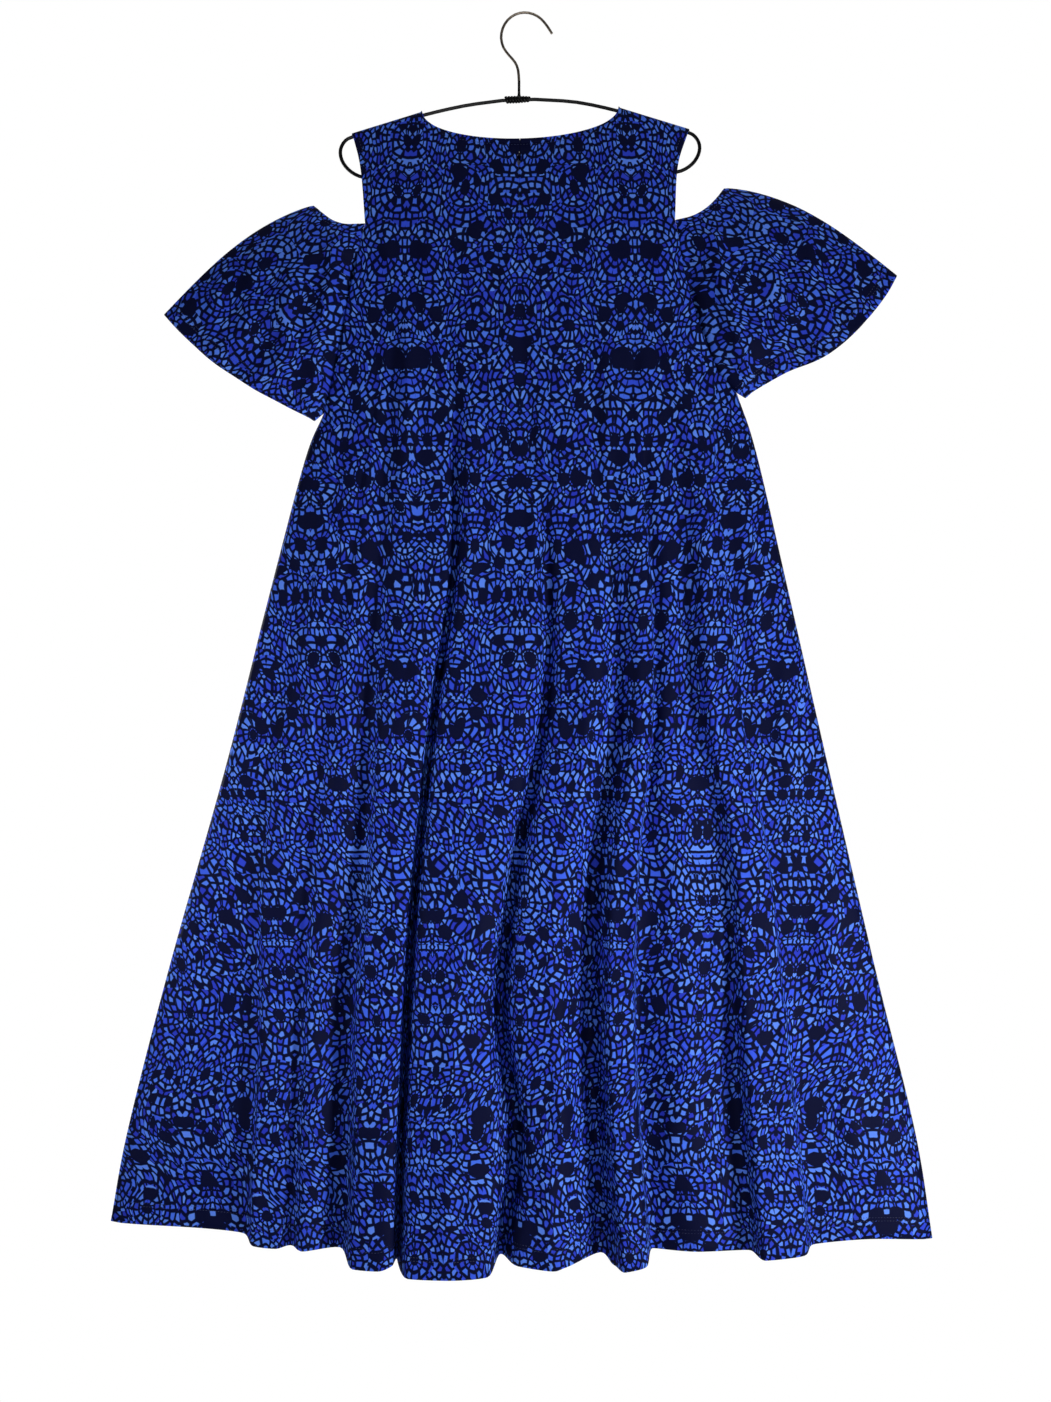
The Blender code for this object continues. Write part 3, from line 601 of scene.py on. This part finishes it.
# The outer points of a panel as rows of columns, in metres
def panelPoints(panel):
    shape, side = panelShape, panel["side"]
    table = np.array(panel["stations"], float)
    heights = np.array(shape["foldHeights"], float)
    middles = (rows["leftHeight"] + rows["rightHeight"]) / 2
    width = rows["right"] - rows["left"]
    left, right = (np.interp(-heights, -middles, rows[i])[:, None] for i in ("left", "right"))
    shares = np.clip((table.T[:9] - left) / (right - left), 0.0, 1.0)
    shares[:, 0], shares[:, -1] = 0.0, 1.0
    steps = shape["foldSteps"]
    curve, curveHeights = through(shares, steps), through(heights[:, None], steps)[:, 0]
    places = np.stack([np.interp(-middles, -curveHeights, line) for line in curve.T], axis=1)
    places = np.maximum.accumulate(places, axis=1)
    count = shape["columnsPerStation"]
    places = between(places, count)
    lifts = between(table[None, :, 9], count)[0]
    hems = between(table[None, :, 10], count)[0]
    shoulderX = rows["left"][0] + width[0] * places[0]
    neckRise, neckGape = neckShape(shoulderX, panel["neckDepth"])
    neckLeft = shape["neckLeft"][0] - shape["neckMargin"]
    neckRight = shape["neckRight"][0] + shape["neckMargin"]
    inNeck = (shoulderX > neckLeft) & (shoulderX < neckRight)

    middles = middles[:, None]
    growth = np.interp(-middles, -heights, shape["foldGrowth"])
    fadeTop = np.interp(middles, [shape["neckFadeEnd"], heights[0]], [0.0, 1.0])
    fadeTop = fadeTop ** shape["neckFading"]
    underarm = rows["leftHeight"][underarmRow]
    fadeHem = np.maximum(0.0, (middles - underarm) / (middles[-1] - underarm)) ** 2
    armhole = [notchRow, underarmRow]
    power = np.interp(np.arange(rowCount), armhole, shape["fullness"])[:, None]
    x = rows["left"][:, None] + width[:, None] * places
    drop = (rows["rightHeight"] - rows["leftHeight"])[:, None]
    z = rows["leftHeight"][:, None] + drop * places
    z = z + neckRise * fadeTop + (hems - z[-1]) * fadeHem
    profile = np.maximum(0.0, 1 - np.abs(2 * places - 1) ** shape["roundness"]) ** power
    gape = rows["gape"][:, None]
    depth = gape + (rows["depth"][:, None] - gape) * profile
    wrap = shape["wrapRows"]
    neckline = np.maximum(neckGape, rows["gape"][wrap])
    depth[: wrap + 1] = np.where(inNeck, neckline, depth[: wrap + 1])
    depth = depth + lifts * growth
    points = np.stack([x, side * depth, z], axis=2) * mm
    return points, places, inNeck


# Unit steps into the wall, level at the edges that meet another piece
def inwardOffsets(points, side, inNeck):
    wrap = panelShape["wrapRows"]
    mirrored = points * (1, -1, 1)
    across, down = np.zeros_like(points), np.zeros_like(points)
    across[:, 1:-1] = points[:, 2:] - points[:, :-2]
    across[:, 0] = points[:, 1] - mirrored[:, 1]
    across[:, -1] = mirrored[:, -2] - points[:, -2]
    down[1:-1] = points[2:] - points[:-2]
    down[0], down[-1] = points[1] - points[0], points[-1] - points[-2]
    offsets = unit(np.cross(across, down))
    offsets *= -side
    level = np.array([0.0, -side, 0.0])
    offsets[wrap:underarmRow, [0, -1]] = level
    for row, (angle,) in enumerate(wrapAngles):
        wrapped = (0.0, -side * math.cos(angle), -math.sin(angle))
        offsets[row] = np.where(inNeck[:, None], level, wrapped)
    offsets[underarmRow:, 0] = (1.0, 0.0, 0.0)
    offsets[underarmRow:, -1] = (-1.0, 0.0, 0.0)
    return offsets


# Topstitching: a twin needle at the hem and the cuffs, one line beside the other free edges
stitching = {
    "length": 2.4,
    "gap": 0.8,
    "halfWidth": 0.28,
    "proud": 0.3,
    "sunk": 0.25,
    "fromEnd": 0.22,  # where a stitch rises out of the cloth, as a share of its length
    "hemLines": (18.5, 22),
    "cuffLines": (11.5, 15),
    "edgeLines": (5.5,),
    "thread": [(0.35, "#070B30"), (0.65, "#111A4E")],
}
stitches = []  # where each starts and ends, and the way out of the cloth there


# Lines of stitches at these distances from an edge, on the side that toward points to
def stitchBeside(tree, edge, toward, distances):
    spec = stitching
    normals = np.array([tree.find_nearest(Vector(p))[1] for p in edge])
    steps = unit(np.cross(normals, np.gradient(edge, axis=0)))
    steps *= np.sign(steps[len(edge) // 2] @ np.asarray(toward))
    for distance in distances:
        found = [tree.find_nearest(Vector(p))[:2] for p in edge + steps * distance * mm]
        table = np.array([[*place, *out] for place, out in found])
        along = lengths(table[:, :3])
        for start in np.arange(0.0, along[-1] / mm - spec["length"], spec["length"] + spec["gap"]):
            reach = np.array([start, start + spec["length"]]) * mm
            ends = np.stack([np.interp(reach, along, column) for column in table.T], axis=1)
            stitches.append((ends[0, :3], ends[1, :3], ends[:, 3:].mean(axis=0)))


# The faces of a grid. A closed one joins its last column to its first
def gridFaces(grid, side, closed):
    rowTotal, columnTotal = grid.shape[:2]
    faces = []
    for row in range(rowTotal - 1):
        for column in range(columnTotal if closed else columnTotal - 1):
            at, beside = (row * columnTotal + i % columnTotal for i in (column, column + 1))
            face = [at, beside, beside + columnTotal, at + columnTotal]
            faces.append(face if side > 0 else face[::-1])
    return faces


# A closed thin shell from an outer sheet and its inner one, with a rounded rim on the free edges
def wallObject(name, outer, inner, faces, flatUv, rimOut, printedInside):
    count = len(outer)
    made = [(face, 0) for face in faces]
    for face in faces:
        made.append(([i + count for i in reversed(face)], 0 if printedInside[face[0]] else 1))
    used = {(a, b) for face in faces for a, b in zip(face, face[1:] + face[:1])}
    free = [(a, b) for a, b in sorted(used) if (b, a) not in used]
    ends = sorted({i for pair in free for i in pair})
    middle = {i: 2 * count + k for k, i in enumerate(ends)}
    for a, b in free:
        made.append(([b, a, middle[a], middle[b]], 0))
        made.append(([middle[b], middle[a], a + count, b + count], 0))
    points = np.vstack([outer, inner, (outer[ends] + inner[ends]) / 2 + rimOut[ends]])
    uvs = np.vstack([flatUv, flatUv, flatUv[ends]])
    data = bpy.data.meshes.new(name)
    data.from_pydata(points.tolist(), [], [face for face, slot in made])
    data.polygons.foreach_set("material_index", [slot for face, slot in made])
    layer = data.uv_layers.new(name="clothMap")
    corners = np.zeros(len(data.loops), int)
    data.loops.foreach_get("vertex_index", corners)
    layer.data.foreach_set("uv", uvs[corners].ravel())
    data.shade_smooth()
    data.materials.append(clothFace)
    data.materials.append(clothBack)
    data.validate()
    found = newObject(name, data)
    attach(found, "root")
    return found


# How far each edge point's rim bulges outwards along the cloth
def rimSteps(grid):
    steps = np.zeros_like(grid)
    steps[0] += unit(grid[0] - grid[1])
    steps[-1] += unit(grid[-1] - grid[-2])
    return steps * panelShape["wall"] * panelShape["rimRoundness"] * mm


def makePanel(name, panel):
    shape, side = panelShape, panel["side"]
    points, places, inNeck = panelPoints(panel)
    points = pressCreases(points, panel["creases"], side)
    offsets = inwardOffsets(points, side, inNeck)
    hemDrop = points[:, :, 2] - points[-1, :, 2]
    neckDrop = points[0, :, 2] - points[:, :, 2]
    slope = shape["turningSlope"]
    facing = np.clip((shape["hemFacing"] * mm - hemDrop) / (slope * mm), 0, 1)
    neckFacing = np.clip((shape["edgeFacing"] * mm - neckDrop) / (slope * mm), 0, 1) * inNeck
    facing = np.maximum(facing, neckFacing)
    facing[:, [0, -1]] = 0.0
    walls = shape["wall"] + shape["turning"] * facing
    inside = points + offsets * walls[:, :, None] * mm
    inside[:, :, 1] = side * np.maximum(side * inside[:, :, 1], shape["seam"] * mm / 2)
    columnTotal = points.shape[1]

    across = lengths(points, 1)
    for line, row in zip(across, points):
        line -= np.interp(grainLine * mm, row[:, 0], line)
    flatUv = np.stack([across, -points[:, :, 2]], axis=2)

    bulge = rimSteps(points)
    bulge[: shape["wrapRows"] + 1, ~inNeck] = 0  # the shoulder seams lie edge to edge

    outer, inner = points.reshape(-1, 3).copy(), inside.reshape(-1, 3).copy()
    uv, rim = flatUv.reshape(-1, 2), bulge.reshape(-1, 3)
    printed = (facing > 0.5).reshape(-1)
    faces = gridFaces(points, side, False)
    if "slit" in panel:  # the centre's points are doubled and drawn apart, down to its foot
        heights, gaps = np.array(panel["slit"]).T
        centre = panel["slitStation"] * shape["columnsPerStation"]
        levels = points[:, centre, 2] / mm
        levels = levels[levels >= heights[-1]]
        at = np.arange(len(levels)) * columnTotal + centre
        copies = {int(i): len(outer) + k for k, i in enumerate(at)}
        shift = np.interp(-levels, -heights, gaps)[:, None] * (mm, 0.0, 0.0)
        rightOuter, rightInner = outer[at] + shift, inner[at] + shift
        outer[at] -= shift
        inner[at] -= shift
        outer, inner = np.vstack([outer, rightOuter]), np.vstack([inner, rightInner])
        uv, rim = np.vstack([uv, uv[at]]), np.vstack([rim, rim[at]])
        printed = np.concatenate([printed, printed[at]])
        for face in faces:
            if min(face) % columnTotal == centre:
                face[:] = [copies.get(i, i) for i in face]
    found = wallObject(name, outer, inner, faces, uv, rim, printed)
    tree = BVHTree.FromPolygons([tuple(p) for p in outer], faces)
    stitchBeside(tree, points[-1], (0, 0, 1), stitching["hemLines"])
    stitchBeside(tree, points[0, inNeck], (0, 0, -1), stitching["edgeLines"])
    for edge, toward in ((0, 1), (-1, -1)):
        free = points[shape["wrapRows"] : notchRow + 1, edge]
        stitchBeside(tree, free, (toward, 0, 0), stitching["edgeLines"])
    width = float((across[:, -1] - across[:, 0]).max())
    height = float(points[0, :, 2].max() - points[-1, :, 2].min())
    fall = np.abs(np.diff(points.mean(axis=1)[:, 2]))
    area = float(np.sum((across[1:, -1] - across[1:, 0]) * fall))
    return found, (width, height, area), points


dressBack, backCut, backPoints = makePanel("dressBack", backPanel)
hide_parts("back_panel")
dressFront, frontCut = makePanel("dressFront", frontPanel)[:2]
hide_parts("front_panel")
print("panels done, cuts", backCut, frontCut)

# Sleeves, in mm: the free edge from the peak of the fold to the notch, then the hem from the
# tip of the fold to the underarm
sleeveShape = {
    "seam": 0.3,
    "rows": 64,
    "freeSteps": 8,
    "hemSteps": 12,
    "freeColumns": 34,
    "freeSpacing": 1.8,  # columns stand closer together towards the fold
    "hemDepth": 17,
    "puff": 9,
    "puffSpeed": 1.3,
    "ripple": 2.6,
    "ripples": 3.5,
    "bulgeRise": 0.8,
    "foldRoundness": 0.55,
    "cuffFacing": 16,
    "frontSlide": 11,  # the front's creases, a little further out and softer
    "frontSoftness": 0.8,
    "printShift": (31, 63),
}
leftSleeve = {
    "side": -1,
    "freeEdge": [
        (-224.2, -201.5), (-214, -211), (-203.5, -219), (-192, -223.3), (-181, -223.8),
    ],
    "hem": [
        (-381, -315.5), (-363.3, -334.5), (-333.9, -360.8), (-297.2, -385.5), (-260.4, -406.5),
        (-232, -421.5), (-222.8, -427.6),
    ],
    "bulge": 14,
    "creases": [
        (7, -9, -176, -243, -182, -305, -193, -368, -210, -414),
        (9, 8, -196, -224, -203, -285, -214, -347, -224, -407),
        (10, 5.5, -236, -231, -246, -295, -252, -357, -256, -404),
        (10, 4.5, -275, -241, -287, -295, -298, -359),
        (9, 4, -313, -264, -327, -316, -335, -352),
        (4, 2.6, -169, -256, -202, -253, -236, -266),
        (4, -2.6, -171, -271, -199, -272, -230, -286),
        (5, 2.4, -175, -305, -199, -312, -225, -328),
    ],
}
rightSleeve = {
    "side": 1,
    "freeEdge": [
        (206.9, -183.4), (199, -194.5), (189, -205), (177, -213), (165.5, -217.5),
    ],
    "hem": [
        (388.3, -274.5), (372.8, -300), (349.7, -328), (318, -354.5), (277, -372.5),
        (241.5, -393), (228.9, -403.5),
    ],
    "bulge": 17,
    "creases": [
        (7, -9, 167, -238, 174, -305, 188, -368, 212, -401),
        (9, 8, 192, -214, 202, -285, 219, -347, 233, -397),
        (10, 5.5, 233, -197, 250, -264, 263, -336, 268, -376),
        (10, 5, 283, -210, 299, -274, 312, -352),
        (9, 4, 330, -248, 340, -295, 348, -331),
        (4, 2.6, 155, -239, 185, -239, 216, -248),
        (4, -2.6, 159, -256, 192, -258, 221, -270),
        (5, 2.4, 169, -305, 192, -310, 219, -324),
    ],
}


def evenly(path):
    along = lengths(path)
    return along / along[-1]


def atShares(path, shares, along):
    return np.stack([np.interp(shares, along, path[:, k]) for k in range(3)], axis=1)


# Rows round the tube, from the top ring to the hem, in metres
def sleeveGrid(sleeve, edge):
    shape, side = sleeveShape, sleeve["side"]
    seam = edge.copy()
    seam[:, 0] += side * shape["seam"] * mm
    path = through([(x, 0, z) for x, z in sleeve["freeEdge"]], shape["freeSteps"]) * mm
    shares = (np.arange(shape["freeColumns"]) / shape["freeColumns"]) ** shape["freeSpacing"]
    free = atShares(path, shares, np.linspace(0, 1, len(path)))
    free[:, 1] = seam[0, 1] * np.sin(shares * math.pi / 2) ** shape["foldRoundness"]
    ring = np.vstack([free, seam])
    ring[-1] = seam[-1] + np.array([side * shape["seam"] * mm, 0.0, shape["seam"] * mm])
    ring[-1, 1] = 0.0
    places = evenly(ring)
    path = through([(x, 0, z) for x, z in sleeve["hem"]], shape["hemSteps"]) * mm
    hem = atShares(path, places, evenly(path))
    fold = hem[0] - ring[0]
    out = np.array([-fold[2], 0.0, fold[0]])
    out *= np.sign(out[2]) / np.linalg.norm(out)
    total = shape["rows"]
    grid = np.zeros((total + 1, len(ring), 3))
    rounding = np.sin(math.pi * np.minimum(1.0, places)) ** shape["foldRoundness"]
    ripple = np.sin(2 * math.pi * shape["ripples"] * places) * np.sin(math.pi * places)
    for row, t in enumerate(np.linspace(0, 1, total + 1)):
        puff = shape["puff"] * max(0.0, math.sin(math.pi * shape["puffSpeed"] * t))
        depth = (shape["hemDepth"] * t + puff) * rounding + shape["ripple"] * t * ripple
        swell = math.sin(math.pi * t ** shape["bulgeRise"])
        bulge = sleeve["bulge"] * swell * (1 - places) ** 3
        grid[row] = ring * (1 - t) + hem * t + out * bulge[:, None] * mm
        grid[row, :, 1] = ring[:, 1] * (1 - t) - depth * mm
    return grid


def makeSleeve(name, sleeve, edge):
    shape, side = sleeveShape, sleeve["side"]
    half = sleeveGrid(sleeve, edge)
    softer = []
    for width, height, *path in sleeve["creases"]:
        path[::2] = [x + side * shape["frontSlide"] for x in path[::2]]
        softer.append((width, shape["frontSoftness"] * height, *path))
    front = pressCreases(half.copy(), softer, -1)[:, -2:0:-1] * (1, -1, 1)
    half = pressCreases(half, sleeve["creases"], -1)
    half[:, [0, -1], 1] = 0.0
    grid = np.concatenate([half, front], axis=1)
    across = np.roll(grid, -1, axis=1) - np.roll(grid, 1, axis=1)
    offsets = np.cross(across, np.gradient(grid, axis=0))
    offsets *= -side / np.linalg.norm(offsets, axis=2)[:, :, None]
    columnTotal = grid.shape[1]
    for i in range(shape["freeColumns"], columnTotal // 2):
        offsets[0, i] = (0.0, 1.0, 0.0)
        offsets[0, columnTotal - i] = (0.0, -1.0, 0.0)
    inner = grid + offsets * panelShape["wall"] * mm

    # the print runs with the sleeve's fold, and is unrolled from it over the back and the front
    fold = half[-1, 0] - half[0, 0]
    fold /= np.linalg.norm(fold)
    out = np.array([-fold[2], 0.0, fold[0]])
    steps = np.diff(half, axis=1)
    flatSteps = np.linalg.norm(steps[..., [0, 2]], axis=2)
    extra = np.cumsum(np.linalg.norm(steps, axis=2) - flatSteps, axis=1)
    away = (half - half[0, 0]) @ (out * np.sign(-out[2]))
    away[:, 1:] += extra
    along = (half - half[0, 0]) @ fold
    away = np.concatenate([away, -away[:, -2:0:-1]], axis=1)
    along = np.concatenate([along, along[:, -2:0:-1]], axis=1)
    flatUv = np.stack([away, along], axis=2) + np.array(shape["printShift"]) * mm
    beside = np.roll(grid, -1, axis=1)
    girths = np.linalg.norm(beside - grid, axis=2).sum(axis=1)
    down = lengths(grid)
    printed = down[-1] - down < shape["cuffFacing"] * mm

    bulge = rimSteps(grid)
    bulge[0, shape["freeColumns"] : columnTotal - shape["freeColumns"] + 1] = 0
    faces = gridFaces(grid, side, True)
    outer, inner, rim = (table.reshape(-1, 3) for table in (grid, inner, bulge))
    uv = flatUv.reshape(-1, 2)
    found = wallObject(name, outer, inner, faces, uv, rim, printed.reshape(-1))
    tree = BVHTree.FromPolygons([tuple(p) for p in outer], faces)
    stitchBeside(tree, np.vstack([grid[-1], grid[-1, :1]]), -fold, stitching["cuffLines"])
    reach = shape["freeColumns"]
    stitchBeside(tree, np.vstack([grid[0, -reach:], grid[0, :reach]]), fold, stitching["edgeLines"])
    quads = np.cross(grid[1:] - beside[:-1], beside[1:] - grid[:-1])
    area = float(np.linalg.norm(quads, axis=2).sum() / 2)
    return found, (float(girths.max()), float(down.max()), area)


edgeRows = slice(notchRow, underarmRow + 1)
sleeveLeft, leftCut = makeSleeve("sleeveLeft", leftSleeve, backPoints[edgeRows, 0])
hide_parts("left_sleeve")
sleeveRight, rightCut = makeSleeve("sleeveRight", rightSleeve, backPoints[edgeRows, -1])
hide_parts("right_sleeve")
print("sleeves done, cuts", leftCut, rightCut)


def makeStitching():
    spec = stitching
    points, faces = [], []
    for start, end, out in stitches:
        along = end - start
        out = out / np.linalg.norm(out)
        beside = np.cross(out, along) / np.linalg.norm(along)
        first = len(points)
        under = out * spec["sunk"] * mm
        points += [start - under, end - under]
        for share in (spec["fromEnd"], 1 - spec["fromEnd"]):
            middle = start + along * share
            wide = beside * spec["halfWidth"] * mm
            top = middle + out * spec["proud"] * mm
            points += [middle + wide, top, middle - wide, middle - under]
        for k in range(4):
            a, b = first + 2 + k, first + 2 + (k + 1) % 4
            faces += [(first, b, a), (a, b, b + 4, a + 4), (first + 1, a + 4, b + 4)]
    data = bpy.data.meshes.new("topstitching")
    data.from_pydata([tuple(p) for p in points], [], faces)
    data.shade_smooth()
    # spun polyester thread in navy: a fine soft shine, a little uneven along its length
    looks = {"Roughness": 0.6, "Sheen Weight": 0.08, "Specular IOR Level": 0.3}
    thread, shader = newMaterial("navyPolyesterThread", looks)
    place = addNode(thread, "ShaderNodeTexCoord").outputs["Object"]
    links = {"Vector": place, "Scale": 900.0, "Detail": 2.0}
    twist = addNode(thread, "ShaderNodeTexNoise", links).outputs["Fac"]
    feed(shader, {"Base Color": colourRamp(thread, twist, spec["thread"])})
    data.materials.append(thread)
    found = newObject("topstitching", data)
    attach(found, "root")
    print("stitching done,", len(stitches), "stitches")


makeStitching()

# Hanger and fastener, in mm
hangerFinish = {
    "coating": "#08080A",
    "steel": [(0.35, "#5E564E"), (0.65, "#8F8578")],
    "dippedBelow": -71,  # the dip reaches this high up the hook's shank
}
winding = {  # the end of the hook's wire, flattened and wound round the arms, then dipped
    "left": -23.5,
    "right": 3.5,
    "height": -90.4,
    "turns": 8,
    "strand": 1.35,
    "round": 2.5,
    "flattening": 1.25,
    "thinning": 0.45,  # how much slimmer the right end is than the left
    "thinFrom": 0.45,
    "ringPoints": 10,
    "turnSteps": 18,
    "tilt": -2,
    "shank": -8.4,
    "filletTop": -83,
    "filletFoot": -89.9,
    "filletWidths": (1.42, 1.5, 1.7, 2.1, 2.8, 3.6),
    "smoothBelow": 50,  # degrees between two faces
}


def metalMaterials():
    def noise(material, scale, detail):
        place = addNode(material, "ShaderNodeTexCoord").outputs["Object"]
        links = {"Vector": place, "Scale": scale, "Detail": detail}
        return addNode(material, "ShaderNodeTexNoise", links).outputs["Fac"]

    def worn(material, value, low, high):
        links = {"Value": value, "To Min": low, "To Max": high}
        return addNode(material, "ShaderNodeMapRange", links).outputs["Result"]

    # black dipped vinyl on wire: smooth and slightly wavy, with a clear highlight
    looks = {"Roughness": 0.28, "IOR": 1.5, "Specular IOR Level": 0.12}
    looks["Base Color"] = srgb(hangerFinish["coating"])
    coat, shader = newMaterial("blackDipCoating", looks)
    dirt = noise(coat, 220.0, 3.0)
    links = {"Strength": 0.3, "Distance": 0.2 * mm, "Height": dirt}
    runs = addNode(coat, "ShaderNodeBump", links).outputs["Normal"]
    feed(shader, {"Roughness": worn(coat, dirt, 0.22, 0.45), "Normal": runs})

    # plated steel wire, drawn lengthwise: satin, a little tarnished and rubbed
    steel, shader = newMaterial("drawnSteelWire", {"Metallic": 1.0, "Roughness": 0.3})
    tarnish = noise(steel, 140.0, 4.0)
    colour = colourRamp(steel, tarnish, hangerFinish["steel"])
    feed(shader, {"Base Color": colour, "Roughness": worn(steel, tarnish, 0.24, 0.5)})
    return coat, steel


blackCoating, hookSteel = metalMaterials()
for nodeName in ("hanger_frame", "hanger_hook", "neck_hook", "neck_eye"):
    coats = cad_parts[nodeName].data.materials
    coats.clear()
    coats.append(hookSteel if nodeName == "hanger_hook" else blackCoating)
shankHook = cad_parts["hanger_hook"].data
shankHook.materials.append(blackCoating)
for polygon in shankHook.polygons:
    if polygon.center.z / mm < hangerFinish["dippedBelow"]:
        polygon.material_index = 1


# A closed strand wound round the arms, with a fillet of dip where the shank goes into it
def makeWinding():
    spec = winding
    long = spec["right"] - spec["left"]
    bpy.ops.mesh.primitive_circle_add(vertices=spec["ringPoints"], radius=spec["strand"] * mm)
    coil = bpy.context.object
    coil.name = "dippedWinding"
    # the ring stands upright above the arms, and is turned round them
    for point in coil.data.vertices:
        x, y, z = point.co
        point.co = (x * spec["flattening"], 0.0, y + spec["round"] * mm)
    screw = coil.modifiers.new("wound", "SCREW")
    screw.axis = "X"
    screw.angle = 2 * math.pi
    screw.iterations = spec["turns"]
    screw.screw_offset = (long - 2 * spec["strand"]) / spec["turns"] * mm
    screw.steps = screw.render_steps = spec["turnSteps"]
    bpy.ops.object.modifier_apply(modifier="wound")
    bpy.ops.object.mode_set(mode="EDIT")
    bpy.ops.mesh.select_mode(type="EDGE")
    bpy.ops.mesh.select_all(action="DESELECT")
    bpy.ops.mesh.select_non_manifold()
    bpy.ops.mesh.edge_face_add()
    bpy.ops.mesh.select_all(action="SELECT")
    bpy.ops.mesh.normals_make_consistent(inside=False)
    bpy.ops.object.mode_set(mode="OBJECT")
    for point in coil.data.vertices:
        past = max(0.0, point.co.x / (long * mm) - spec["thinFrom"])
        slim = 1 - spec["thinning"] * past
        point.co.y *= slim
        point.co.z *= slim
    coil.location = ((spec["left"] + spec["strand"]) * mm, 0.0, spec["height"] * mm)
    coil.rotation_euler = (0.0, math.radians(spec["tilt"]), 0.0)
    bpy.ops.object.transform_apply(location=True, rotation=True, scale=True)

    deselectAll()
    widths = spec["filletWidths"]
    bpy.ops.mesh.primitive_cylinder_add(vertices=16, radius=mm, depth=mm, end_fill_type="NGON")
    fillet = bpy.context.object
    bpy.ops.object.mode_set(mode="EDIT")
    levels = [0.5] + [i / (len(widths) - 1) for i in range(1, len(widths) - 1)]
    for level in levels:
        bpy.ops.mesh.select_all(action="SELECT")
        bpy.ops.mesh.bisect(plane_co=(0, 0, (level - 0.5) * mm), plane_no=(0, 0, 1))
    bpy.ops.object.mode_set(mode="OBJECT")
    foot = spec["filletFoot"]
    for point in fillet.data.vertices:
        share = point.co.z / mm + 0.5
        width = float(np.interp(1 - share, np.linspace(0, 1, len(widths)), widths))
        point.co.x = point.co.x * width + spec["shank"] * mm
        point.co.y *= width
        point.co.z = (foot + (spec["filletTop"] - foot) * share) * mm
    coil.select_set(True)
    bpy.context.view_layer.objects.active = coil
    bpy.ops.object.join()
    bpy.ops.object.shade_smooth_by_angle(angle=math.radians(spec["smoothBelow"]))
    coil.data.materials.clear()
    coil.data.materials.append(blackCoating)
    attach(coil, "root")
    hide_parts("hanger_collar")
    deselectAll()


makeWinding()
print("hanger done")
